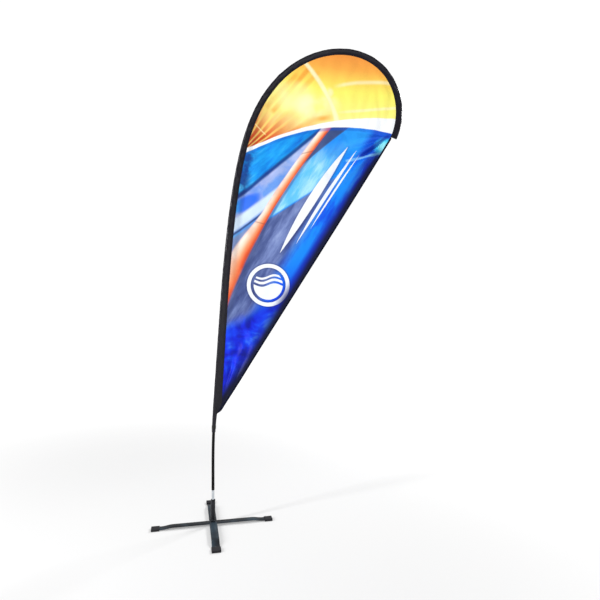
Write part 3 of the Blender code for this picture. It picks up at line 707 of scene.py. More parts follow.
    def ribbon(self, shader: Shader, colour: Tint, x: Signal, z: Signal) -> Socket:
        """Lay the warm ribbon over a colour: pale on its left, red on its right.

        Args:
            shader: The material being made.
            colour: What lies below.
            x: Place in the flag's plane.
            z: Height.

        Returns:
            The colour with the ribbon on it.
        """
        wide = z.rise(2.14, 1.84)
        across = (x - self.ribbon_line(z)) * 0.86 + 0.005 * (shader.noise(8.0, 2.0) - 0.5)
        across = (across + 0.022 * wide) / (1.0 + 0.9 * wide)
        mask = across.band(0.0, 0.024, 0.008)
        tone = across + 0.010 * (shader.noise(7.0, 3.0) - 0.5)
        warm = shader.ramp((tone + 0.034) / 0.068, (
            (0.0, "e8c8c4"), (0.22, "fdeee2"), (0.42, "fbd2b4"),
            (0.62, "f69a68"), (0.80, "e85c2c"), (1.0, "98341e")))
        blush = shader.noise(5.0, 3.0).rise(0.46, 0.66)
        warm = shader.mix(blush * 0.45, warm, "f08a5a")
        seams = (z - 2.527 - 0.25 * (x - 0.656)).band(0.0, 0.0015, 0.006).math(
            "MAXIMUM", (z - 2.040 + 0.25 * (x - 0.338)).band(0.0, 0.0015, 0.006))
        warm = shader.mix(seams * 0.4, warm, "7a3a30")
        shade = (across - 0.034).band(0.0, 0.004, 0.014) * z.rise(2.62, 2.5)
        return shader.layered(colour, (shade * 0.55, "33406e"), (mask, warm))

    def sweep(self, shader: Shader, sky: Tint, blue: Tint, x: Signal, z: Signal) -> Socket:
        """Join sky and blues by the white sweep between two shallow arches.

        Args:
            shader: The material being made.
            sky: The colour above.
            blue: The colour below.
            x: Place in the flag's plane.
            z: Height.

        Returns:
            The joined colour.
        """
        top = 2.750 - 0.28 * (x - 1.08) * (x - 1.08)
        low = 2.691 - 0.413 * (x - 0.87) * (x - 0.87)
        blue = shader.mix((z - low).band(-0.010, 0.004, 0.014) * 0.5, blue, "0b50c0")
        white = shader.mix((z - low).rise(-0.003, 0.004), blue, "f6f9fc")
        return shader.mix((z - top).rise(-0.004, 0.006), white, sky)

    def leaf(self, up: Signal, off: Signal, middle: float, half_length: float, half: float, soft: float) -> Signal:
        """Return a slim stripe along the free edge that tapers to both ends.

        Args:
            up: Distance up the free edge.
            off: Distance from the stripe's centre line.
            middle: Where its middle is.
            half_length: Half of its length.
            half: Half its width in the middle.
            soft: Width of its edge.

        Returns:
            The stripe's mask.
        """
        share = (up - middle) / half_length
        taper = (1.0 - share * share).math("MAXIMUM", 0.0)
        return (half * taper - abs(off)).rise(-soft / 2, soft / 2) * taper.rise(0.0, 0.03)

    def marks(self, shader: Shader, colour: Tint, up: Signal, depth: Signal) -> Socket:
        """Lay plain white marks along the diagonal: three tapering stripes and a ringed wave.

        Args:
            shader: The material being made.
            colour: What lies below.
            up: Distance up the free edge.
            depth: Depth in from it.

        Returns:
            The colour with the marks on it.
        """
        bend = 0.060 * (up - 1.5) * (up - 1.5)
        thick = depth - 0.232 + bend
        thin = depth - 0.162 + bend
        reach_up, reach_in = up - self.ring_at[0], depth - self.ring_at[1]
        reach = (reach_up * reach_up + reach_in * reach_in).math("SQRT")
        ring = (reach - self.ring).band(0.0, 0.012, 0.002)
        slant = reach_up * self.along[0] - reach_in * self.along[1]
        level = reach_up * self.along[1] + reach_in * self.along[0]
        wave = level - 0.0115 * (slant * 37.0).math("SINE")
        lines = (wave - 0.025).band(0.0, 0.0075, 0.002).math("MAXIMUM", (wave - 0.055).band(0.0, 0.006, 0.002))
        disc = wave.rise(0.001, -0.001).math("MAXIMUM", lines) * (1.0 - reach.rise(self.disc, self.disc + 0.002))
        bars = self.leaf(up, thick, 1.580, 0.430, 0.030, 0.003).math(
            "MAXIMUM", self.leaf(up, thin - 0.006, 1.64, 0.380, 0.0115, 0.0025)).math(
            "MAXIMUM", self.leaf(up, thin + 0.026, 1.70, 0.300, 0.0060, 0.0025))
        soft = self.leaf(up, thick + 0.006, 1.580, 0.440, 0.036, 0.024).math(
            "MAXIMUM", (reach - self.ring).band(0.0, 0.014, 0.014))
        colour = shader.mix(soft * 0.45, colour, "142a66")
        mark = bars.math("MAXIMUM", ring).math("MAXIMUM", disc)
        return shader.mix(mark * 0.97, colour, "f1f5fb")

    def dress(self, shader: Shader) -> None:
        """Build the print, the knit and a soft gloss.

        Args:
            shader: The material being made.
        """
        x, _, z = shader.axes()
        up, depth = self.edge_axes(x, z)
        blue = self.blues(shader, x, z, up, depth)
        blue = self.ribbon(shader, blue, x, z)
        blue = self.marks(shader, blue, up, depth)
        colour = self.sweep(shader, self.sky(shader, x, z), blue, x, z)
        uneven = depth + 0.02 * (shader.noise(5.0, 2.0) - 0.5)
        colour = shader.layered(
            colour, ((1.0 - uneven.rise(0.030, 0.085)) * up.rise(2.12, 1.95) * 0.75, "061a86"),
            ((1.0 - uneven.rise(0.012, 0.050)) * up.rise(2.16, 2.02) * 0.95, "03061c"),
            (up.rise(0.34, 0.08) * (1.0 - uneven.rise(0.02, 0.075)), "03061c"))
        knit = self.yarns(shader)
        shader.set(Base_Color=shader.mix((1.0 - knit) * 0.10, colour, self.colour), Specular_IOR_Level=0.2,
                   Roughness=self.roughness, Normal=shader.bump(knit, self.depth, 0.35))


BAR_COAT = PowderCoat("bar_coat", "0a0e15", 0.36, rubbed="445866")
HOUSING_COAT = PowderCoat("housing_coat", "0c0e13", 0.38, rubbed="272c38")
FOOT_RUBBER = Rubber("foot_rubber", "040506", 0.66, scuff="15181c")
SEAL_RUBBER = Rubber("seal_rubber", "121212", 0.6)
TIP_RUBBER = Rubber("tip_rubber", "161616", 0.65)
PLATED = Metal("plated_steel", "9aa0a6", 0.32, tarnish="5b5a55")
GROUND = Metal("ground_steel", "c0c4c8", 0.18, line_depth=0.000003, tarnish="8c8c8c")
BLACKED = Metal("blacked_steel", "2c2d30", 0.4)
BRASS = Metal("cage_brass", "c9ab62", 0.3, tarnish="6a5a30")
CHROME = Metal("bright_chrome", "c3c8cd", 0.10, line_depth=0.000001, tarnish="c4c8cc",
               tarnish_share=0.25)
NYLON = Plastic("nylon", "dcd8cc", 0.45)
ACETAL = Plastic("acetal", "1b1b1d", 0.38)
GLASS_ROD = Plastic("glass_rod", "b9b8ae", 0.45)
POLE_SKIN = Plastic("pole_skin", "040405", 0.42, gloss=0.12)
# The woven finishes below carry a painted sheen colour that stands in for the light on their yarns.
SLEEVE_CLOTH = Woven("sleeve_cloth", "020205", 0.35, painted_sheen="231c33", gloss=0.30)
WEBBING = Woven("webbing", "08080b", 0.7, yarn=0.0016, painted_sheen="201f28", depth=0.0003, diagonal=True)
HEM_CLOTH = Woven("hem_cloth", "02030e", 0.6, painted_sheen="070d26", gloss=0.10)
PRINT = PrintedCloth("printed_cloth", "0a1c60", 0.48, yarn=0.0009, depth=0.0001)
THREAD = Woven("thread", "141320", 0.55, painted_sheen="3c3a4c")
BLUE_THREAD = Woven("blue_thread", "12246e", 0.55, painted_sheen="4a66c8")


# ---------------------------------------------------------------- mesh making
FULL_CORNER = 0.98      # the most that a corner's radius may take of half a side


def object_of(name: str, built: bmesh.types.BMesh, finish: Finish, sharp: float = 40.0) -> bpy.types.Object:
    """Turn a bmesh into a named object at the origin, its faces pointing out.

    Args:
        name: The piece's name.
        built: Its mesh, which is used up.
        finish: Its look.
        sharp: The angle in degrees above which an edge stays sharp.

    Returns:
        The object.
    """
    bmesh.ops.recalc_face_normals(built, faces=built.faces)
    mesh = bpy.data.meshes.new(name)
    built.to_mesh(mesh)
    built.free()
    mesh.shade_smooth()
    mesh.set_sharp_from_angle(angle=math.radians(sharp))
    mesh.materials.append(finish.material())
    made = bpy.data.objects.new(name, mesh)
    bpy.context.scene.collection.objects.link(made)
    return made


def loft(rings: Sequence[Ring], closed: bool = False,
         spacing: Optional[Sequence[float]] = None) -> bmesh.types.BMesh:
    """Join rings of equally many points by quads, with a UV map in metres.

    Args:
        rings: The rings in order.
        closed: Whether the last ring joins the first; if not, both ends get a face.
        spacing: Distance of each ring along the piece, for the UV map.

    Returns:
        The mesh.
    """
    built = bmesh.new()
    uv = built.loops.layers.uv.new("cloth")
    loops = [[built.verts.new(p) for p in ring] for ring in rings]
    count = len(rings[0])
    if spacing is None:
        steps = [0.0] + [(after[0] - before[0]).length for before, after in zip(rings, rings[1:])]
        spacing = list(np.cumsum(steps))
    girths = []
    for ring in rings:
        steps = [(ring[(k + 1) % count] - ring[k]).length for k in range(count)]
        girths.append([0.0, *np.cumsum(steps)])
    total = len(rings) if closed else len(rings) - 1
    for i in range(total):
        j = (i + 1) % len(rings)
        for k in range(count):
            n = (k + 1) % count
            face = built.faces.new((loops[i][k], loops[i][n], loops[j][n], loops[j][k]))
            marks = ((i, k), (i, k + 1), (j, k + 1), (j, k))
            for corner, (row, column) in zip(face.loops, marks):
                corner[uv].uv = (girths[row][column], spacing[row])
    if not closed:
        built.faces.new(list(reversed(loops[0])))
        built.faces.new(loops[-1])
    return built


def circle(radius: float, height: float, sides: int = 64) -> Ring:
    """Return a level ring about the spindle's axis."""
    turns = (2 * math.pi * k / sides for k in range(sides))
    return [Vector((radius * math.cos(t), radius * math.sin(t), height)) for t in turns]


def hexagon(across: float, height: float, sides: int, round_to: float) -> Ring:
    """Make a level hexagon about the spindle's axis.

    Args:
        across: Its width across the flats.
        height: Its height.
        sides: How many points it has.
        round_to: The share of its corner radius that its corners are cut back to.

    Returns:
        The ring.
    """
    points = []
    limit = across / 2 / math.cos(math.pi / 6) * round_to
    for k in range(sides):
        turn = 2 * math.pi * k / sides
        radius = min(across / 2 / math.cos((turn % (math.pi / 3)) - math.pi / 6), limit)
        points.append(Vector((radius * math.cos(turn), radius * math.sin(turn), height)))
    return points


def rounded_box_ring(wide: float, tall: float, radius: float, steps: int) -> Outline:
    """Make a rounded rectangle about its middle.

    Args:
        wide: Its width.
        tall: Its height.
        radius: Its corner radius.
        steps: Steps in each corner's arc.

    Returns:
        (across, up) points, anticlockwise.
    """
    radius = min(radius, wide / 2 * FULL_CORNER, tall / 2 * FULL_CORNER)
    points = []
    for right, top, start in ((1, 1, 0.0), (-1, 1, 0.5), (-1, -1, 1.0), (1, -1, 1.5)):
        for k in range(steps + 1):
            turn = math.pi * (start + 0.5 * k / steps)
            points.append((right * (wide / 2 - radius) + radius * math.cos(turn),
                           top * (tall / 2 - radius) + radius * math.sin(turn)))
    return points


def turned(profile: Outline, closed: bool, sides: int) -> bmesh.types.BMesh:
    """Stack rings of (radius, height) about the spindle's axis."""
    return loft([circle(radius, height, sides) for radius, height in profile], closed)


def softened(profile: Outline, reach: float) -> Outline:
    """Round each corner of a closed profile, so that it catches the light.

    Args:
        profile: Closed outline of (radius, height) points.
        reach: How far the rounding goes along each side.

    Returns:
        The outline with its corners rounded.
    """
    rounded = []
    count = len(profile)
    for k in range(count):
        here = Vector(profile[k])
        before = Vector(profile[k - 1]) - here
        after = Vector(profile[(k + 1) % count]) - here
        cut = min(reach, before.length * 0.4, after.length * 0.4)
        start = here + before.normalized() * cut
        end = here + after.normalized() * cut
        middle = here + (before.normalized() + after.normalized()) * cut * 0.3
        rounded += [tuple(start), tuple(middle), tuple(end)]
    return rounded


def settle(piece: bpy.types.Object, body: Body, slot: Slot, *nodes: str) -> None:
    """Ride a piece on its body and stand it for CAD nodes.

    Args:
        piece: The piece.
        body: The body it moves with.
        slot: Its material slot; not used.
        nodes: The CAD nodes it takes the place of.
    """
    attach(piece, body.value)
    if nodes:
        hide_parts(*nodes)
    log.info("%s rides on %s, %d faces", piece.name, body.value, len(piece.data.polygons))


def apply_modifiers(piece: bpy.types.Object) -> None:
    """Turn a piece's modifiers into its mesh.

    Args:
        piece: The piece, whose modifiers are used up.
    """
    graph = bpy.context.evaluated_depsgraph_get()
    mesh = bpy.data.meshes.new_from_object(piece.evaluated_get(graph), preserve_all_data_layers=True,
                                           depsgraph=graph)
    piece.modifiers.clear()
    old = piece.data
    piece.data = mesh
    mesh.name = piece.name
    bpy.data.meshes.remove(old)


def remove(piece: bpy.types.Object) -> None:
    """Delete a helper object and its mesh.

    Args:
        piece: The helper.
    """
    mesh = piece.data
    bpy.data.objects.remove(piece, do_unlink=True)
    bpy.data.meshes.remove(mesh)


# ---------------------------------------------------------------- the pole's line and the flag's cut
@dataclass
class PoleLine:
    """The bent pole's centre line, with the same bend as the CAD pole."""

    length: float = 4.18
    straight: float = 0.17
    tip_gap: float = 0.010
    bend: tuple[Spot, ...] = ((0.0, 90.0), (0.1, 86.5), (0.3, 85.5), (0.5, 79.0), (0.6, 65.0),
                                             (0.7, 36.0), (0.8, -5.0), (0.9, -62.5), (1.0, -113.0))
    joint_radii: tuple[float, ...] = (0.0092, 0.0078, 0.0062, 0.0040)
    steps: int = 2400
    radii: tuple[float, ...] = field(init=False)
    table: dict[str, np.ndarray] = field(init=False)

    def __post_init__(self) -> None:
        """Integrate the line from the pole's foot in the frame."""
        low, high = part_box("pole_section_1")
        foot_radius = high.y
        self.radii = (foot_radius, *self.joint_radii)
        shares = np.linspace(0.0, 1.0, self.steps + 1)
        turns = np.array([self.heading(s) for s in shares])
        step = (self.length - self.straight) / self.steps
        middles = np.array([self.heading(s) for s in (shares[:-1] + shares[1:]) / 2])
        x = np.concatenate([[0.0], np.cumsum(np.cos(middles) * step)])
        z = np.concatenate([[0.0], np.cumsum(np.sin(middles) * step)]) + low.z + self.straight
        self.table = {"d": np.concatenate([[0.0], self.straight + shares * (self.length - self.straight)]),
                      "x": np.concatenate([[0.0], x]), "z": np.concatenate([[low.z], z]),
                      "turn": np.concatenate([[math.pi / 2], turns])}

    def heading(self, share: float) -> float:
        """Blend the bend's headings.

        Args:
            share: Share of the bent length, from 0 to 1.

        Returns:
            The heading there, in radians.
        """
        shares = [point[0] for point in self.bend]
        angles = [math.radians(point[1]) for point in self.bend]
        last = len(shares) - 1
        k = min(int(np.searchsorted(shares, share, side="right")) - 1, last - 1)
        slopes = []
        for j in (k, k + 1):
            before, after = max(j - 1, 0), min(j + 1, last)
            slopes.append((angles[after] - angles[before]) / (shares[after] - shares[before]))
        span = shares[k + 1] - shares[k]
        t = (share - shares[k]) / span
        blend = t * t * (3 - 2 * t)
        return (angles[k] * (1 - blend) + angles[k + 1] * blend
                + span * (t * (1 - t) ** 2 * slopes[0] + t * t * (t - 1) * slopes[1]))

    def at(self, distance: float) -> tuple[Vector, Vector]:
        """Return the centre and the inward direction at a distance along the pole."""
        x, z, turn = (float(np.interp(distance, self.table["d"], self.table[key])) for key in ("x", "z", "turn"))
        return Vector((x, 0.0, z)), Vector((math.sin(turn), 0.0, -math.cos(turn)))

    def radius(self, distance: float) -> float:
        """Return the pole's outer radius at a distance."""
        places = np.linspace(0.0, self.length - self.tip_gap, len(self.radii))
        return float(np.interp(distance, places, self.radii))


@dataclass
class FlagCut:
    """The cut of the sleeve, cuff, panel and hem about the pole."""

    line: PoleLine
    cuff_start: float = 0.390
    sleeve_start: float = 0.512
    flare: float = 0.075
    cuff_width: float = 0.030
    width_low: float = 0.058
    width_top: float = 0.043
    narrowing: float = 2.2
    clear: float = 0.0003
    ease: float = 0.0018
    ply: float = 0.0010
    seam_width: float = 0.008
    seam_thick: float = 0.0016
    hem_width: float = 0.013
    hem_thick: float = 0.0014
    low_corner: Vector = field(init=False)
    tip_corner: Vector = field(init=False)
    edge_length: float = field(init=False)
    along: Vector = field(init=False)
    outward: Vector = field(init=False)

    def __post_init__(self) -> None:
        """Work out the free edge's line."""
        self.low_corner = self.seam(self.sleeve_start)
        self.tip_corner = self.seam(self.line.length)
        span = self.tip_corner - self.low_corner
        self.edge_length = span.length
        self.along = span.normalized()
        self.outward = Vector((self.along.z, 0.0, -self.along.x))

    def round_radius(self, distance: float) -> float:
        """Return the outer radius of the sleeve's round part."""
        return self.line.radius(distance) + self.ease + self.ply

    def reach(self, distance: float) -> float:
        """Measure the sleeve's width on its inner side.

        Args:
            distance: Distance along the pole.

        Returns:
            The distance of the seam's edge from the pole's centre.
        """
        flare_end = self.sleeve_start + self.flare
        if distance <= flare_end:
            t = (distance - self.sleeve_start) / self.flare
            width = self.cuff_width + (self.width_low - self.cuff_width) * t
        else:
            t = (distance - flare_end) / (self.line.length - flare_end)
            width = self.width_low + (self.width_top - self.width_low) * min(self.narrowing * t, 1.0)
        return max(width - self.round_radius(distance), self.round_radius(distance) + self.clear)

    def cuff_reach(self, distance: float) -> float:
        """Measure the cuff, which is round at its bottom and as wide as the sleeve at its top.

        Args:
            distance: Distance along the pole.

        Returns:
            The distance of the seam's edge from the pole's centre.
        """
        t = min(max((distance - self.cuff_start) / (self.sleeve_start - self.cuff_start), 0.0), 1.0)
        narrow = self.round_radius(self.cuff_start) + self.clear
        return narrow + (self.reach(self.sleeve_start) - narrow) * t * t

    def seam(self, distance: float, inset: float = 0.0) -> Vector:
        """Return the point of the sleeve's edge, or one inset towards the pole."""
        centre, inward = self.line.at(distance)
        return centre + inward * (self.reach(distance) - inset)

    def edge_point(self, up: float, out: float = 0.0) -> Vector:
        """Return a point up the free edge's inner line, moved outwards."""
        return self.low_corner + self.along * up + self.outward * out


ROUND_SIDES = 40        # steps round the pole
NECK_STEPS = 5          # steps from there in to the flange
NECK_ROOM = 1.02        # the least neck, in radii
NECK_EASE = 1.7         # how soon the neck turns flat
LEAST_TURN = 0.25       # the least angle at which the cloth leaves the round, in radians


def drop_ring(radius: float, reach: float, flange: float, half: float) -> Outline:
    """Draw the sleeve's cross-section: round over the pole, drawn in to a flat sewn flange.

    Args:
        radius: Radius of the round part.
        reach: Distance of the flange's edge from the centre.
        flange: Width of the flange.
        half: Half the flange's thickness.

    Returns:
        (inward, sideways) points, which start and end beside the flange's edge.
    """
    neck = max(reach - flange, radius * NECK_ROOM)
    leave = max(math.acos(radius / neck), LEAST_TURN)
    points = []
    for k in range(ROUND_SIDES + 1):
        turn = leave + (2 * math.pi - 2 * leave) * k / ROUND_SIDES
        points.append((radius * math.cos(turn), radius * math.sin(turn)))
    end = points[-1]
    side_low = []
    for k in range(1, NECK_STEPS + 1):
        t = k / NECK_STEPS
        ease = 1 - (1 - t) ** NECK_EASE
        side_low.append((end[0] + (neck - end[0]) * t, end[1] + (-half - end[1]) * ease))
    side_high = [(a, -b) for a, b in reversed(side_low)]
    tail = [(neck + (reach - neck) * 0.5, -half), (reach - half * 0.4, -half), (reach, -half * 0.5),
            (reach, half * 0.5), (reach - half * 0.4, half), (neck + (reach - neck) * 0.5, half)]
    return points + side_low + tail + side_high


def drop_at(cut: FlagCut, distance: float, outline: Outline) -> Ring:
    """Stand a cross-section square to the pole at a distance."""
    centre, inward = cut.line.at(distance)
    return [centre + inward * a + Vector((0.0, b, 0.0)) for a, b in outline]


# ---------------------------------------------------------------- the printed panel
Fold = tuple[float, float, float]    # direction and half width in degrees, and height


@dataclass
class PrintedPanel:
    """The stretched panel: cut flat, creased where it is pulled, then settled by the cloth solver."""

    cut: FlagCut
    tuck: float = 0.005
    hem_tuck: float = 0.003
    sewn_edge: float = 0.014
    end_gap: float = 0.004
    coarse: float = 0.019
    fine: float = 0.0095
    corner_reach: float = 0.03
    ply: float = 0.0005
    tip_reach: float = 0.32
    foot_height: float = 1.36
    frames: int = 36
    flat_size: Spot = (1.20, 2.41)
    flat_area: float = 1.32
    tip_folds: tuple[Fold, ...] = ((214.0, 2.8, 0.019), (205.5, 3.0, -0.016), (221.5, 2.6, -0.013),
                                   (196.0, 3.8, 0.012), (228.0, 2.8, 0.011), (185.0, 5.0, -0.010),
                                   (170.0, 6.0, 0.009))
    foot_folds: tuple[Fold, ...] = ((63.0, 2.4, 0.011), (68.5, 2.2, -0.012), (74.0, 2.4, 0.011),
                                    (80.0, 2.8, -0.009))
    seam_count: int = 0
    edge_ids: list[int] = field(default_factory=list)
    hem_line: list[Vector] = field(default_factory=list)

    def outline(self) -> np.ndarray:
        """Walk round the cut, up the seam and back down the free edge.

        Returns:
            The outline's points in the flag's plane.
        """
        start, stop = self.cut.sleeve_start + self.end_gap, self.cut.line.length - self.end_gap
        count = int((stop - start) / self.coarse)
        seam = [self.cut.seam(start + (stop - start) * k / count, self.tuck) for k in range(count + 1)]
        rows = int(self.cut.edge_length / self.coarse)
        edge = [self.cut.edge_point(self.cut.edge_length * (1 - k / rows), self.hem_tuck)
                for k in range(rows + 1)]
        edge = [p for p in edge if (p - seam[0]).length > self.fine and (p - seam[-1]).length > self.fine]
        self.seam_count = len(seam)
        return np.array([(p.x, p.z) for p in seam + edge])

    def sewn_seam(self) -> np.ndarray:
        """Walk up the sewn seam in small steps.

        Returns:
            Its points in the flag's plane.
        """
        stations = np.arange(self.cut.sleeve_start, self.cut.line.length, self.end_gap)
        seam = [self.cut.seam(float(d), self.tuck) for d in stations]
        return np.array([(p.x, p.z) for p in seam])

    def scatter(self, outline: np.ndarray) -> np.ndarray:
        """Fill the outline with points, closer together at the tip and the foot.

        Args:
            outline: The cut's outline.

        Returns:
            The inner points.
        """
        found = []
        tip = self.cut.tip_corner
        for spacing, close in ((self.coarse, False), (self.fine, True)):
            low, high = outline.min(axis=0), outline.max(axis=0)
            rows = np.arange(low[1], high[1], spacing * math.sqrt(3) / 2)
            columns = np.arange(low[0], high[0], spacing)
            x, z = np.meshgrid(columns, rows)
            x = x + (np.arange(len(rows)) % 2)[:, None] * spacing / 2
            grid = np.stack([x.ravel(), z.ravel()], axis=1)
            by_tip = np.hypot(grid[:, 0] - tip.x, grid[:, 1] - tip.z) < self.tip_reach
            grid = grid[(by_tip | (grid[:, 1] < self.foot_height)) == close]
            grid = grid[self.inside(grid, outline)]
            off = grid[:, None, :] - outline[None, :, :]
            gap = np.hypot(off[..., 0], off[..., 1]).min(axis=1)
            found.append(grid[gap > spacing * 0.6])
        return np.concatenate(found)

    @staticmethod
    def inside(points: np.ndarray, outline: np.ndarray) -> np.ndarray:
        """Find the points inside a closed outline.

        Args:
            points: The points.
            outline: The outline's points.

        Returns:
            Whether each point is inside.
        """
        result = np.zeros(len(points), dtype=bool)
        ahead = np.roll(outline, -1, axis=0)
        for (x0, z0), (x1, z1) in zip(outline, ahead):
            if z0 == z1:
                continue
            crosses = (z0 > points[:, 1]) != (z1 > points[:, 1])
            at = (x1 - x0) * (points[:, 1] - z0) / (z1 - z0) + x0
            result ^= crosses & (points[:, 0] < at)
        return result

    @staticmethod
    def folds_at(corner: Vector, x: float, z: float, folds: Sequence[Fold], near: Spot,
                 far: Spot) -> float:
        """Fan creases out from a corner where the cloth is pulled.

        Args:
            corner: The corner.
            x: Place in the flag's plane.
            z: Height.
            folds: The creases.
            near: Distances over which they begin.
            far: Distances over which they end, the larger first.

        Returns:
            Their height there.
        """
        reach = math.hypot(x - corner.x, z - corner.z)
        turn = math.degrees(math.atan2(z - corner.z, x - corner.x)) % 360
        ridges = sum(rise * math.exp(-((turn - middle) / half) ** 2) for middle, half, rise in folds)
        return smooth(reach, *near) * smooth(reach, *far) * ridges

    def crease(self, x: float, z: float) -> float:
        """Work out how far the cloth stands off its plane before it settles.

        Args:
            x: Place in the flag's plane.
            z: Height.

        Returns:
            The offset in metres.
        """
        low = self.cut.low_corner
        height = self.folds_at(self.cut.tip_corner, x, z, self.tip_folds, (0.010, 0.09), (0.62, 0.16))
        height += self.folds_at(low, x, z, self.foot_folds, (0.02, 0.10), (0.75, 0.25))
        crumple = noise.noise(Vector((x * 9.0, 4.1, z * 6.0)))
        crumple += 0.6 * noise.noise(Vector((x * 21.0, 9.3, z * 15.0)))
        height += 0.017 * crumple * smooth(z, 1.52, 1.16)
        up = (x - low.x) * self.cut.along.x + (z - low.z) * self.cut.along.z
        depth = (z - low.z) * self.cut.along.x - (x - low.x) * self.cut.along.z
        height += 0.010 * noise.noise(Vector((up * 2.0, 1.7, depth * 8.0)))
        height += 0.005 * noise.noise(Vector((up * 4.5, 7.7, depth * 17.0)))
        height += 0.026 * smooth(depth, 0.0, 0.30) * smooth(up, 0.3, 1.4) * smooth(up, 2.5, 1.7)
        return height

    def freedom(self, outline: np.ndarray, x: float, z: float) -> float:
        """Return 0 where the panel is sewn in, rising to 1 over the free cloth."""
        gap = float(np.hypot(outline[:, 0] - x, outline[:, 1] - z).min())
        return smooth(gap, self.tuck, self.tuck + 0.045)

    def flat_mesh(self) -> bpy.types.Object:
        """Cut the panel as a triangle mesh, with its creases.

        Returns:
            A helper object whose group "held" is the sewn seam and the two corners.
        """
        outline = self.outline()
        inner = self.scatter(outline)
        rim = [Vector(p) for p in outline]
        points = rim + [Vector(p) for p in inner]
        ring = [(k, (k + 1) % len(rim)) for k in range(len(rim))]
        verts, _, faces, sources, _, _ = delaunay_2d_cdt(points, ring, [], 1, 1e-7)
        on_rim = {k: source[0] for k, source in enumerate(sources) if source and source[0] < len(rim)}
        fade = [self.freedom(outline, v.x, v.y) for v in verts]
        mesh = bpy.data.meshes.new("panel_cut")
        mesh.from_pydata([(v.x, self.crease(v.x, v.y) * fade[k], v.y) for k, v in enumerate(verts)], [], faces)
        made = bpy.data.objects.new("panel_cut", mesh)
        bpy.context.scene.collection.objects.link(made)
        held = made.vertex_groups.new(name="held")
        held.add([k for k, source in on_rim.items() if source < self.seam_count], 1.0, "REPLACE")
        places = {k: Vector((verts[k].x, 0.0, verts[k].y))
                  for k, source in on_rim.items() if source >= self.seam_count}
        low, tip = self.cut.low_corner, self.cut.tip_corner
        self.edge_ids = sorted(places, key=lambda k: (places[k] - low).dot(self.cut.along))
        corners = [k for k in self.edge_ids
                   if min((places[k] - low).length, (places[k] - tip).length) < self.corner_reach]
        held.add(corners, 1.0, "REPLACE")
        log.info("panel cut: %d points", len(verts))
        return made

    def drape(self, panel: bpy.types.Object) -> None:
        """Let the panel settle between its seam and its corners.

        Args:
            panel: The cut panel.
        """
        cloth = panel.modifiers.new("settle", "CLOTH")
        wear = cloth.settings
        wear.quality = 7
        wear.mass = 0.02
        wear.tension_stiffness = wear.compression_stiffness = 60.0
        wear.shear_stiffness = 30.0
        wear.bending_stiffness = 0.6
        wear.tension_damping = wear.compression_damping = wear.shear_damping = 20.0
        wear.air_damping = 4.0
        wear.vertex_group_mass = "held"
        wear.pin_stiffness = 1.0
        cloth.collision_settings.use_collision = False
        cloth.collision_settings.use_self_collision = False
        cloth.point_cache.frame_start = 1
        cloth.point_cache.frame_end = self.frames
        scene = bpy.context.scene
        for step in range(1, self.frames + 1):
            scene.frame_set(step)
        apply_modifiers(panel)
        scene.frame_set(1)

    def build(self) -> bpy.types.Object:
        """Cut, settle, round and thicken the panel.

        Returns:
            The finished sheet.
        """
        panel = self.flat_mesh()
        self.drape(panel)
        seam = self.sewn_seam()
        for v in panel.data.vertices:
            gap = float(np.hypot(seam[:, 0] - v.co.x, seam[:, 1] - v.co.z).min())
            v.co.y *= smooth(gap, self.tuck * 0.5, self.tuck + self.sewn_edge)
        offs = [v.co.y for v in panel.data.vertices]
        log.info("panel stands %.4f to %.4f m off its plane", min(offs), max(offs))
        self.hem_line = [panel.data.vertices[k].co.copy() for k in self.edge_ids]
        smoother = panel.modifiers.new("round", "SUBSURF")
        smoother.levels = smoother.render_levels = 1
        wall = panel.modifiers.new("wall", "SOLIDIFY")
        wall.thickness, wall.offset = self.ply, 0.0
        apply_modifiers(panel)
        panel.vertex_groups.clear()
        built = bmesh.new()
        built.from_mesh(panel.data)
        remove(panel)
        uv = built.loops.layers.uv.new("cloth")
        low, along = self.cut.low_corner, self.cut.along
        for face in built.faces:
            for loop in face.loops:
                x, z = loop.vert.co.x - low.x, loop.vert.co.z - low.z
                loop[uv].uv = (x * along.x + z * along.z, z * along.x - x * along.z)
        sheet = object_of("printed_panel", built, PRINT, sharp=80.0)
        log.info("panel area %.3f m2", sum(face.area for face in sheet.data.polygons) / 2)
        return sheet


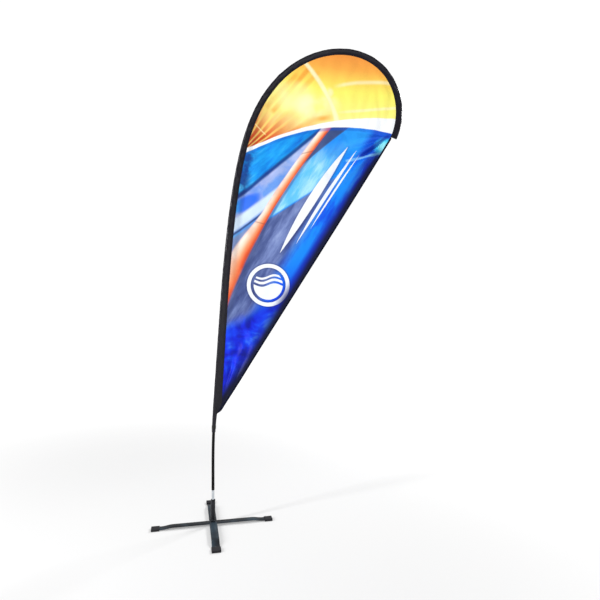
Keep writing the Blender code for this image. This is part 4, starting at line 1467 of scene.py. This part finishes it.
# ---------------------------------------------------------------- stitching
@dataclass
class StitchRow:
    """Places, directions and facings of a run of stitches."""

    spots: list[Vector] = field(default_factory=list)
    along: list[Vector] = field(default_factory=list)
    out: list[Vector] = field(default_factory=list)

    def follow(self, path: Sequence[Vector], facing: Vector, lift: float, pitch: float = 0.0045) -> None:
        """Add stitches at even steps along a path.

        Args:
            path: The points of the path.
            facing: The way the cloth's face looks.
            lift: How far above the path the thread's middle lies.
            pitch: Distance from stitch to stitch.
        """
        steps = np.array([(b - a).length for a, b in zip(path, path[1:])])
        places = np.concatenate([[0.0], np.cumsum(steps)])
        total = float(places[-1])
        xyz = np.array([tuple(p) for p in path])
        for d in np.arange(pitch / 2, total, pitch):
            here = Vector([float(np.interp(d, places, xyz[:, k])) for k in range(3)])
            k = min(int(np.searchsorted(places, d)), len(path) - 1)
            self.spots.append(here + facing * lift)
            self.along.append((path[k] - path[k - 1]).normalized())
            self.out.append(facing)

    def sew(self, name: str, finish: Finish, length: float = 0.0036, radius: float = 0.00032) -> bpy.types.Object:
        """Lay one thread loop on every spot with Geometry Nodes.

        Args:
            name: The piece's name.
            finish: The thread's look.
            length: Length of a stitch.
            radius: Radius of the thread.

        Returns:
            One mesh with every stitch.
        """
        mesh = bpy.data.meshes.new(name)
        mesh.from_pydata([tuple(p) for p in self.spots], [], [])
        for key, values in (("along", self.along), ("out", self.out)):
            layer = mesh.attributes.new(key, "FLOAT_VECTOR", "POINT")
            layer.data.foreach_set("vector", [c for v in values for c in v])
        piece = bpy.data.objects.new(name, mesh)
        bpy.context.scene.collection.objects.link(piece)
        tree = stitch_tree()
        maker = piece.modifiers.new("sew", "NODES")
        maker.node_group = tree
        wanted = {"Length": length, "Radius": radius, "Thread": finish.material()}
        for item in tree.interface.items_tree:
            if item.item_type == "SOCKET" and item.in_out == "INPUT" and item.name in wanted:
                maker[item.identifier] = wanted[item.name]
        apply_modifiers(piece)
        piece.data.shade_smooth()
        layer = piece.data.uv_layers.new(name="cloth")
        points = np.empty(len(piece.data.vertices) * 3)
        piece.data.vertices.foreach_get("co", points)
        corners = np.empty(len(piece.data.loops), dtype=np.int64)
        piece.data.loops.foreach_get("vertex_index", corners)
        xyz = points.reshape(-1, 3)[corners]
        layer.data.foreach_set("uv", np.stack([xyz[:, 0] + xyz[:, 1], xyz[:, 2]], axis=1).ravel())
        return piece


def stitch_tree() -> bpy.types.NodeTree:
    """Make the tree that stands a thread loop on every point, or find it again.

    Returns:
        The shared tree.
    """
    made = bpy.data.node_groups.get("stitching")
    if made is not None:
        return made
    made = bpy.data.node_groups.new("stitching", "GeometryNodeTree")
    for name, kind in (("Geometry", "NodeSocketGeometry"), ("Length", "NodeSocketFloat"),
                       ("Radius", "NodeSocketFloat"), ("Thread", "NodeSocketMaterial")):
        made.interface.new_socket(name, in_out="INPUT", socket_type=kind)
    made.interface.new_socket("Geometry", in_out="OUTPUT", socket_type="NodeSocketGeometry")

    def add(kind: str, settings: Optional[dict] = None, inputs: Optional[dict] = None) -> bpy.types.Node:
        """Add a node.

        Args:
            kind: The node's type.
            settings: Its properties.
            inputs: Values or sockets, by input name or number.

        Returns:
            The node.
        """
        node = made.nodes.new(kind)
        for key, value in (settings or {}).items():
            setattr(node, key, value)
        for key, value in (inputs or {}).items():
            if isinstance(value, Socket):
                made.links.new(value, node.inputs[key])
            else:
                node.inputs[key].default_value = value
        return node

    given = add("NodeGroupInput").outputs
    bead = add("GeometryNodeMeshUVSphere", None, {"Segments": 6, "Rings": 4, "Radius": 1.0})
    half = add("ShaderNodeMath", {"operation": "MULTIPLY"}, {0: given["Length"], 1: 0.5})
    size = add("ShaderNodeCombineXYZ", None, {0: given["Radius"], 1: given["Radius"], 2: half.outputs[0]})
    thread = add("GeometryNodeTransform", None, {"Geometry": bead.outputs[0], "Scale": size.outputs[0]})
    along = add("GeometryNodeInputNamedAttribute", {"data_type": "FLOAT_VECTOR"}, {"Name": "along"})
    out = add("GeometryNodeInputNamedAttribute", {"data_type": "FLOAT_VECTOR"}, {"Name": "out"})
    turn = add("FunctionNodeAlignRotationToVector", {"axis": "Z"}, {"Vector": along.outputs[0]})
    turn = add("FunctionNodeAlignRotationToVector", {"axis": "X", "pivot_axis": "Z"},
               {"Rotation": turn.outputs[0], "Vector": out.outputs[0]})
    placed = add("GeometryNodeInstanceOnPoints", None,
                 {"Points": given["Geometry"], "Instance": thread.outputs[0], "Rotation": turn.outputs[0]})
    solid = add("GeometryNodeRealizeInstances", None, {0: placed.outputs[0]})
    dressed = add("GeometryNodeSetMaterial", None, {"Geometry": solid.outputs[0], "Material": given["Thread"]})
    add("NodeGroupOutput", None, {0: dressed.outputs[0]})
    return made


# ---------------------------------------------------------------- the cloth along the pole
@dataclass
class SleeveAndCuff:
    """The black sleeve, the cuff that grips the pole, its strap, the tip patch and the free edge's hem."""

    cut: FlagCut
    sleeve_stride: float = 0.006
    sleeve_gather: float = 0.0032
    cuff_stride: float = 0.0025
    cuff_gather: float = 0.0022
    cuff_gap: float = 0.0003
    strap_start: float = 0.410
    strap_width: float = 0.025
    strap_thick: float = 0.0012
    strap_rows: int = 12
    strap_over: float = 0.0003
    strap_under: float = 0.0002
    patch_shape: Outline = ((0.0, 0.0), (0.12, 0.0), (0.55, 0.0), (0.9, 0.0012), (1.0, 0.0026))
    patch_corner: float = 0.32
    hem_run_in: float = 0.006
    hem_stride: float = 0.008
    hem_lap: float = 0.003
    hem_settle: float = 0.05
    hem_least: float = 0.15
    hem_stitch_gap: float = 0.012
    flange_rows: tuple[float, ...] = (0.0022, 0.0058)
    flange_lift: float = 0.00012
    hem_rows: tuple[float, ...] = (-0.0042, 0.0044)
    hem_lift: float = 0.00010

    def wrinkle(self, distance: float, inward: float, turn: float) -> float:
        """Gather the cloth across the pole.

        Args:
            distance: Distance along the pole.
            inward: Distance from the pole's centre towards the panel.
            turn: Direction from the pole's centre.

        Returns:
            The wrinkles' height, from about -0.25 to 1.
        """
        broad = noise.noise(Vector((distance * 26.0 + inward * 25.0, turn * 1.3, 2.0)))
        fine = noise.noise(Vector((distance * 75.0 + inward * 60.0, turn * 1.9, 6.0)))
        return max(broad + 0.35 * fine, -0.25)

    def tube(self, name: str, start: float, stop: float, reach_at: Callable[[float], float], gather: float,
             stride: float) -> bpy.types.Object:
        """Loft a cloth tube of drop-shaped rings about the pole.

        Args:
            name: The piece's name.
            start: Where it starts along the pole.
            stop: Where it ends.
            reach_at: The flange edge's distance from the pole's centre.
            gather: Height of the cross wrinkles.
            stride: Distance between rings.

        Returns:
            The tube, as one closed wall.
        """
        cut, count = self.cut, max(int((stop - start) / stride), 2)
        outer, inner, spacing = [], [], []
        for k in range(count + 1):
            d = start + (stop - start) * k / count
            radius, reach = cut.round_radius(d), reach_at(d)
            neck = max(reach - cut.seam_width, radius * NECK_ROOM)
            shaped, pocket = [], []
            for a, b in drop_ring(radius, reach, cut.seam_width, cut.seam_thick / 2):
                free = smooth(a / neck, -0.6, 0.5) * smooth(a / neck, 1.0, 0.75)
                wave = self.wrinkle(d, a, math.atan2(b, a)) * (0.35 + free)
                lift = gather * wave * smooth(k, 0, 2) * smooth(k, count, count - 2)
                length = math.hypot(a, b)
                scale = 1 + lift * smooth(a / neck, 1.0, 0.80) / length
                shaped.append((a * scale, b * scale))
                if a < neck * 0.999:
                    shrink = max(1 - cut.ply / length, 0.05)
                    pocket.append((a * scale * shrink, b * scale * shrink))
                else:
                    place = (a - neck) / cut.seam_width
                    pocket.append((neck * (0.94 + 0.03 * place), math.copysign(0.00012 * (1.1 - place), b)))
            outer.append(drop_at(cut, d, shaped))
            inner.append(drop_at(cut, d, pocket))
            spacing.append(d)
        built = loft(outer + inner[::-1], closed=True, spacing=spacing + spacing[::-1])
        return object_of(name, built, SLEEVE_CLOTH, sharp=50.0)

    def sleeve(self) -> None:
        """Make the sleeve along the whole curved edge."""
        piece = self.tube("pole_sleeve_cloth", self.cut.sleeve_start, self.cut.line.length, self.cut.reach,
                          self.sleeve_gather, self.sleeve_stride)
        settle(piece, Body.POLE, Slot.SLEEVE, "pole_sleeve")

    def cuff(self) -> None:
        """Make the cuff below the sleeve, tucked just short of it."""
        piece = self.tube("cuff_cloth", self.cut.cuff_start, self.cut.sleeve_start - self.cuff_gap,
                          self.cut.cuff_reach, self.cuff_gather, self.cuff_stride)
        settle(piece, Body.POLE, Slot.SLEEVE, "bottom_cuff")

    def strap_ring(self, distance: float, lift: float) -> Ring:
        """Draw one ring of the strap.

        Args:
            distance: Distance along the pole.
            lift: How far it stands off the cuff.

        Returns:
            The ring.
        """
        cut = self.cut
        outline = drop_ring(cut.round_radius(distance) + lift, cut.cuff_reach(distance) + lift, cut.seam_width,
                            cut.seam_thick / 2 + lift)
        return drop_at(cut, distance, outline)

    def strap(self) -> None:
        """Make the webbing strap round the cuff, thin at both its edges."""
        shares = np.linspace(0, 1, self.strap_rows)
        places = [self.strap_start + self.strap_width * float(t) for t in shares]
        lifts = [self.strap_over + self.strap_thick * min(1.0, 6 * float(t), 6 * (1 - float(t))) ** 0.5
                 for t in shares]
        rings = [self.strap_ring(d, lift) for d, lift in zip(places, lifts)]
        rings += [self.strap_ring(d, self.strap_under) for d in places[::-1]]
        piece = object_of("cuff_strap_band", loft(rings, closed=True, spacing=places + places[::-1]), WEBBING)
        settle(piece, Body.POLE, Slot.WEBBING, "cuff_strap")

    def patch(self) -> None:
        """Make the doubled webbing that closes the sleeve's end."""
        low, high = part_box("tip_patch")
        tall = (high - low).y
        centre, inward = self.cut.line.at(self.cut.line.length)
        onward = Vector((-inward.z, 0.0, inward.x))
        source = NODES["tip_patch"].data.vertices
        reach = [(v.co - centre).dot(inward) for v in source]
        ahead = [(v.co - centre).dot(onward) for v in source]
        wide, deep = max(reach) - min(reach), max(ahead) - min(ahead)
        middle = centre + inward * ((max(reach) + min(reach)) / 2) + onward * min(ahead)
        rings = []
        for share, inset in self.patch_shape:
            outline = rounded_box_ring(wide - 2 * inset, tall - 2 * inset, tall * self.patch_corner, 6)
            rings.append([middle + inward * a + Vector((0, b, 0)) + onward * (deep * share) for a, b in outline])
        settle(object_of("tip_patch_webbing", loft(rings), WEBBING), Body.POLE, Slot.WEBBING, "tip_patch")

    def hem(self, line: Sequence[Vector]) -> list[Vector]:
        """Make the folded hem along the panel's own settled edge.

        Args:
            line: The panel's free edge, from the low corner to the tip.

        Returns:
            The hem's centre line.
        """
        cut = self.cut
        ups = [(p - cut.low_corner).dot(cut.along) for p in line]
        outs = [(p - cut.low_corner).dot(cut.outward) for p in line]
        sides = [p.y for p in line]
        start, stop = -self.hem_run_in, cut.edge_length + self.hem_run_in
        count = int((stop - start) / self.hem_stride)
        rings, centres = [], []
        for k in range(count + 1):
            up = start + (stop - start) * k / count
            whole = smooth(up, start, start + 0.045) * smooth(up, stop, stop - 0.020)
            out = float(np.interp(up, ups, outs)) - self.hem_lap
            out *= smooth(up, self.hem_lap, self.hem_settle)
            out *= smooth(up, cut.edge_length - self.hem_lap, cut.edge_length - self.hem_settle)
            side = float(np.interp(up, ups, sides)) * smooth(up, 0.0, 0.04)
            side *= smooth(up, cut.edge_length, cut.edge_length - 0.04)
            side += 0.0005 * noise.noise(Vector((up * 40.0, 3.0, 1.0)))
            wide = cut.hem_width * (self.hem_least + (1 - self.hem_least) * whole)
            middle = cut.edge_point(up, out + wide / 2 - 0.004 * (1 - whole)) + Vector((0, side, 0))
            thick = cut.hem_thick * (1 + 0.12 * noise.noise(Vector((up * 60.0, 8.0, 2.0))))
            outline = rounded_box_ring(wide, thick, thick * 0.45, 3)
            rings.append([middle + cut.outward * a + Vector((0, b, 0)) for a, b in outline])
            if self.hem_stitch_gap < up < cut.edge_length - self.hem_stitch_gap:
                centres.append(middle)
        settle(object_of("free_edge_hem_cloth", loft(rings), HEM_CLOTH), Body.POLE, Slot.HEM, "free_edge_hem")
        return centres

    def stitching(self, hem_centres: Sequence[Vector]) -> None:
        """Sew the flange in two rows and the hem in two, on both faces.

        Args:
            hem_centres: The hem's centre line.
        """
        cut = self.cut
        seam, hem = StitchRow(), StitchRow()
        stations = np.arange(cut.sleeve_start + cut.flare * 0.2, cut.line.length - 0.006, 0.01)
        for side in (-1.0, 1.0):
            facing = Vector((0.0, side, 0.0))
            for inset in self.flange_rows:
                path = [cut.seam(float(d), inset) for d in stations]
                seam.follow(path, facing, cut.seam_thick / 2 + self.flange_lift)
            for shift in self.hem_rows:
                path = [p + cut.outward * shift for p in hem_centres]
                hem.follow(path, facing, cut.hem_thick / 2 + self.hem_lift)
        settle(seam.sew("sleeve_stitching", THREAD), Body.POLE, Slot.SLEEVE)
        settle(hem.sew("hem_stitching", BLUE_THREAD), Body.POLE, Slot.HEM)

    def build(self, line: Sequence[Vector]) -> None:
        """Make every piece of black cloth.

        Args:
            line: The panel's free edge, from the low corner to the tip.
        """
        self.sleeve()
        self.cuff()
        self.strap()
        self.patch()
        self.stitching(self.hem(line))


# ---------------------------------------------------------------- the pole
@dataclass
class BentPole:
    """The visible lowest section of the pole, as a smooth tapered tube open at both ends."""

    line: PoleLine
    wall: float = 0.0018
    sides: int = 40
    rows: int = 90
    chamfer: float = 0.0005
    end_gap: float = 0.0003

    def ring(self, distance: float, inset: float) -> Ring:
        """Draw a ring square to the pole.

        Args:
            distance: Distance along the pole.
            inset: How far it lies within the pole's skin.

        Returns:
            The ring.
        """
        centre, inward = self.line.at(distance)
        radius = self.line.radius(distance) - inset
        turns = (2 * math.pi * k / self.sides for k in range(self.sides))
        return [centre + inward * (radius * math.cos(t)) + Vector((0, radius * math.sin(t), 0)) for t in turns]

    def build(self) -> None:
        """Make the section that shows."""
        stop = (self.line.length - self.line.tip_gap) / len(self.line.joint_radii) - self.end_gap
        places = [stop * k / self.rows for k in range(self.rows + 1)]
        skin = [(0.0, self.chamfer), (self.chamfer, 0.0)] + [(d, 0.0) for d in places[1:]]
        walk = skin + [(d, self.wall) for d in places[::-1]]
        rings = [self.ring(d, inset) for d, inset in walk]
        piece = object_of("lowest_pole_section", loft(rings, True, [d for d, _ in walk]), POLE_SKIN)
        settle(piece, Body.POLE, Slot.POLE, "pole_section_1")


# ---------------------------------------------------------------- the spindle
@dataclass
class Spindle:
    """Housing, shaft, seal and the bolt stack, all turned about the upright axis."""

    touch: float = 0.0003
    slide: float = 0.0005
    web: float = 0.010
    ledge: float = 0.0022
    bolt_radius: float = 0.006
    clip_bite: float = 0.0010
    journal: float = 0.006
    collar: float = 0.009
    pin: float = 0.0065
    across: float = 0.022
    edge: float = 0.0005
    ring_edge: float = 0.0004
    groove_dip: float = 0.0005
    groove_half: float = 0.0008
    groove_floor: float = 0.0003
    turned_sides: int = 72
    ring_sides: int = 64
    hex_sides: int = 60
    corner_cut: float = 0.985

    def housing(self) -> None:
        """Turn the housing, bored for its bearings, with three tool grooves outside."""
        low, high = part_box("spindle_housing")
        ring_low, ring_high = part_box("lower_bearing_outer_ring")
        clip_low, clip_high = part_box("housing_circlip")
        outer, bore, hole = high.x, ring_high.x + self.touch, self.bolt_radius + self.touch
        seat, groove = ring_low.z - self.touch, clip_high.x + self.touch
        floor = outer - self.groove_dip
        profile = [(hole, low.z), (outer, low.z)]
        for level in (low.z + 0.008, high.z - 0.010, high.z - 0.007):
            profile += [(outer, level - self.groove_half), (floor, level - self.groove_floor),
                        (floor, level + self.groove_floor), (outer, level + self.groove_half)]
        profile += [(outer, high.z), (bore, high.z), (bore, clip_high.z + self.touch),
                    (groove, clip_high.z + self.touch), (groove, clip_low.z - self.touch),
                    (bore, clip_low.z - self.touch), (bore, seat), (bore - self.ledge, seat),
                    (bore - self.ledge, low.z + self.web), (hole, low.z + self.web)]
        built = turned(softened(profile, self.edge), True, self.turned_sides)
        settle(object_of("turned_housing", built, HOUSING_COAT), Body.BASE, Slot.HOUSING, "spindle_housing")

    def shaft(self) -> None:
        """Turn the shaft: journal with its clip groove, bright collar, and pin."""
        low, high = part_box("spindle_shaft")
        clip_low, clip_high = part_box("shaft_circlip")
        collar_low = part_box("upper_bearing_inner_ring")[1].z + self.touch
        collar_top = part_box("pole_bush")[0].z - self.touch
        groove, edge = self.journal - self.clip_bite, self.edge
        rings = [(self.journal - edge, low.z), (self.journal, low.z + edge),
                 (self.journal, clip_low.z - self.touch),
                 (groove, clip_low.z - self.touch), (groove, clip_high.z + self.touch),
                 (self.journal, clip_high.z + self.touch), (self.journal, collar_low),
                 (self.collar - edge, collar_low), (self.collar, collar_low + edge),
                 (self.collar, collar_top - 0.0012), (self.collar - 0.0003, collar_top - 0.0004),
                 (self.collar - 0.0010, collar_top), (self.pin, collar_top), (self.pin, high.z - 0.0020),
                 (self.pin - 0.0006, high.z - 0.0006), (self.pin - 0.0018, high.z)]
        piece = object_of("bright_shaft", turned(rings, False, self.turned_sides), CHROME, sharp=30.0)
        settle(piece, Body.ROTOR, Slot.CHROME, "spindle_shaft")

    def plain_ring(self, name: str, node: str, inner: float, finish: Finish, slot: Slot) -> None:
        """Turn a ring with softened edges in place of a CAD ring on the base.

        Args:
            name: The piece's name.
            node: The CAD node.
            inner: Radius of its hole.
            finish: Its look.
            slot: Its material slot.
        """
        low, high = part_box(node)
        profile = [(inner, low.z), (high.x, low.z), (high.x, high.z), (inner, high.z)]
        built = turned(softened(profile, self.ring_edge), True, self.ring_sides)
        settle(object_of(name, built, finish), Body.BASE, slot, node)

    def rim(self, share: float, height: float) -> Ring:
        """Return a level ring as wide as a share of the hexagon."""
        return circle(self.across / 2 * share, height, self.hex_sides)

    def flats(self, height: float) -> Ring:
        """Return a level hexagon with its corners cut back."""
        return hexagon(self.across, height, self.hex_sides, self.corner_cut)

    def nut(self) -> None:
        """Make the hexagonal lock nut with chamfered corners."""
        low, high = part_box("lock_nut")
        hole = self.bolt_radius + self.touch
        rings = [circle(hole, low.z, self.hex_sides), self.rim(0.96, low.z), self.flats(low.z + 0.0007),
                 self.flats(high.z - 0.0012), self.rim(0.93, high.z - 0.0002), self.rim(0.90, high.z),
                 circle(hole, high.z, self.hex_sides)]
        piece = object_of("hexagon_nut", loft(rings, closed=True), PLATED, sharp=25.0)
        settle(piece, Body.BASE, Slot.FASTENER, "lock_nut")

    def bolt(self) -> None:
        """Make the pivot bolt with its head below the bars."""
        low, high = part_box("pivot_bolt")
        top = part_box("head_washer")[0].z - self.touch
        stem, point = self.bolt_radius, 0.001
        rings = [self.rim(0.90, low.z), self.rim(0.94, low.z + 0.0002), self.flats(low.z + 0.0012),
                 self.flats(top - 0.0004), self.rim(0.96, top), circle(stem, top, self.hex_sides),
                 circle(stem, high.z - point, self.hex_sides), circle(stem - point, high.z, self.hex_sides)]
        piece = object_of("hexagon_bolt", loft(rings), PLATED, sharp=25.0)
        settle(piece, Body.BASE, Slot.FASTENER, "pivot_bolt")

    def build(self) -> None:
        """Make the spindle's visible pieces."""
        self.housing()
        self.shaft()
        self.nut()
        self.bolt()
        hole = self.bolt_radius + self.touch
        self.plain_ring("bolt_head_washer", "head_washer", hole, PLATED, Slot.FASTENER)
        self.plain_ring("bar_pivot_washer", "pivot_washer", hole, NYLON, Slot.NYLON)
        self.plain_ring("spring_lock_washer", "spring_washer", hole, BLACKED, Slot.FASTENER)
        self.plain_ring("lip_seal", "dust_seal", self.collar + self.slide, SEAL_RUBBER, Slot.SEAL)


# ---------------------------------------------------------------- the cross base
@dataclass
class CrossBase:
    """Two flat steel bars with bent ends in rubber caps."""

    bar_edge: float = 0.0009
    cap_edge: float = 0.0012
    weld: float = 0.00001
    flat_angle: float = 0.6
    bevel_angle: float = 35.0

    def rounded(self, node: str, name: str, finish: Finish, width: float, body: Body, slot: Slot) -> None:
        """Stand a copy of a CAD piece with rounded edges for it.

        Args:
            node: The CAD node.
            name: The piece's name.
            finish: Its look.
            width: Width of the rounding.
            body: The body it rides on.
            slot: Its material slot.
        """
        built = bmesh.new()
        built.from_mesh(NODES[node].data)
        bmesh.ops.remove_doubles(built, verts=built.verts, dist=self.weld)
        bmesh.ops.dissolve_limit(built, angle_limit=math.radians(self.flat_angle), verts=built.verts,
                                 edges=built.edges)
        sharp = [edge for edge in built.edges if len(edge.link_faces) == 2
                 and edge.calc_face_angle(0.0) > math.radians(self.bevel_angle)]
        bmesh.ops.bevel(built, geom=sharp, offset=width, segments=3, profile=0.5, affect="EDGES",
                        clamp_overlap=True)
        settle(object_of(name, built, finish, sharp=28.0), body, slot, node)

    def build(self) -> None:
        """Make both bars and the four caps."""
        self.rounded("lower_bar", "steel_bar_low", BAR_COAT, self.bar_edge, Body.BASE, Slot.BAR)
        self.rounded("upper_bar", "steel_bar_high", BAR_COAT, self.bar_edge, Body.UPPER_LEG, Slot.BAR)
        for side, body in (("left", Body.BASE), ("right", Body.BASE), ("back", Body.UPPER_LEG),
                           ("front", Body.UPPER_LEG)):
            self.rounded(f"foot_cap_{side}", f"rubber_foot_{side}", FOOT_RUBBER, self.cap_edge, body, Slot.FOOT)


# ---------------------------------------------------------------- what stays as CAD
CARRIED: dict[Finish, tuple[str, ...]] = {
    GROUND: ("lower_bearing_outer_ring", "upper_bearing_outer_ring", "lower_bearing_inner_ring",
             "upper_bearing_inner_ring"),
    PLATED: ("outer_spacer_tube", "inner_spacer_tube"),
    BRASS: ("lower_ball_cage", "upper_ball_cage"),
    BLACKED: ("housing_circlip", "shaft_circlip"),
    ACETAL: ("pole_bush",),
    GLASS_ROD: ("joint_spigot_1", "joint_spigot_2", "joint_spigot_3"),
    POLE_SKIN: ("pole_section_2", "pole_section_3", "pole_section_4"),
    TIP_RUBBER: ("tip_cap",),
}


def dress_carried() -> None:
    """Give every CAD node that stays its own finish."""
    for finish, names in CARRIED.items():
        for name in names:
            for slot in NODES[name].material_slots:
                slot.material = finish.material()
            log.info("%s stays, in %s", name, finish.name)


# ---------------------------------------------------------------- the studio
@dataclass
class Studio:
    """Camera, white floor, white surround and soft lights."""

    eye: tuple[float, float, float] = (0.5886, -3.505, 1.52)
    lens: float = 31.08
    sensor: float = 36.0
    far_clip: float = 200.0
    floor_reach: float = 60.0
    floor_drop: float = 0.0005
    surround: float = 0.40
    backdrop: float = 1.05
    near_glow: float = 0.36
    lamps: tuple[tuple, ...] = (
        ("key_light", (-3.6, -2.4, 3.1), (0.4, 0.0, 1.8), (0.5, 3.4), 205.0),
        ("fill_light", (3.2, -3.6, 1.6), (0.5, 0.0, 1.5), (2.6, 2.6), 24.0),
        ("back_light", (3.4, 3.0, 4.2), (0.5, 0.0, 1.6), (1.4, 1.4), 200.0))

    def camera(self) -> None:
        """Stand the camera, level and looking along +Y."""
        data = bpy.data.cameras.new("camera")
        data.lens, data.sensor_width = self.lens, self.sensor
        data.clip_end = self.far_clip
        made = bpy.data.objects.new("camera", data)
        made.location = self.eye
        made.rotation_euler = (math.pi / 2, 0.0, 0.0)
        bpy.context.scene.collection.objects.link(made)
        bpy.context.scene.camera = made

    def light(self, name: str, place: Sequence[float], aim: Sequence[float], size: Spot,
              power: float) -> None:
        """Hang a soft box.

        Args:
            name: Its name.
            place: Where it hangs.
            aim: The point it faces.
            size: Its width and height.
            power: Its power in watts.
        """
        data = bpy.data.lights.new(name, "AREA")
        data.shape = "RECTANGLE"
        data.energy, data.size, data.size_y = power, *size
        made = bpy.data.objects.new(name, data)
        made.location = place
        made.rotation_euler = (Vector(aim) - Vector(place)).to_track_quat("-Z", "Y").to_euler()
        bpy.context.scene.collection.objects.link(made)

    def floor(self) -> None:
        """Lay a plain pale floor that glows, more faintly near the middle."""
        built = bmesh.new()
        bmesh.ops.create_circle(built, cap_ends=True, segments=64, radius=self.floor_reach)
        mesh = bpy.data.meshes.new("floor")
        built.to_mesh(mesh)
        built.free()
        shader = Shader("floor_paint")
        x, y, _ = shader.axes()
        far = (x * x + y * y).math("SQRT").rise(1.2, 6.0)
        glow = shader.mix(far, (self.near_glow,) * 3, (1.0, 1.0, 1.0))
        shader.set(Base_Color="c8c8c8", Roughness=0.9, Specular_IOR_Level=0.1, Emission_Color=glow,
                   Emission_Strength=0.85)
        mesh.materials.append(shader.material)
        made = bpy.data.objects.new("floor", mesh)
        made.location = (0.0, 0.0, -self.floor_drop)
        bpy.context.scene.collection.objects.link(made)

    def sky(self) -> None:
        """Surround the object with soft white, brighter where it is seen directly."""
        world = bpy.data.worlds.new("surround")
        world.use_nodes = True
        tree = world.node_tree
        tree.nodes.clear()
        seen = tree.nodes.new("ShaderNodeLightPath").outputs["Is Camera Ray"]
        mix = tree.nodes.new("ShaderNodeMixShader")
        tree.links.new(seen, mix.inputs[0])
        for place, strength in ((1, self.surround), (2, self.backdrop)):
            shade = tree.nodes.new("ShaderNodeBackground")
            shade.inputs["Strength"].default_value = strength
            shade.inputs["Color"].default_value = (1.0, 1.0, 1.0, 1.0)
            tree.links.new(shade.outputs[0], mix.inputs[place])
        out = tree.nodes.new("ShaderNodeOutputWorld")
        tree.links.new(mix.outputs[0], out.inputs[0])
        bpy.context.scene.world = world

    def build(self) -> None:
        """Set the studio up."""
        self.camera()
        self.floor()
        self.sky()
        for lamp in self.lamps:
            self.light(*lamp)
        bpy.context.scene.view_settings.view_transform = "Standard"


def main() -> None:
    """Build the flag in order."""
    logging.basicConfig(level=logging.INFO, format="%(name)s: %(message)s")
    Studio().build()
    line = PoleLine()
    cut = FlagCut(line)
    panel = PrintedPanel(cut)
    sheet = panel.build()
    SleeveAndCuff(cut).build(panel.hem_line)
    settle(sheet, Body.POLE, Slot.PRINT, "flag_panel")
    BentPole(line).build()
    Spindle().build()
    CrossBase().build()
    dress_carried()
    bpy.context.view_layer.update()


if __name__ == "__main__":
    main()
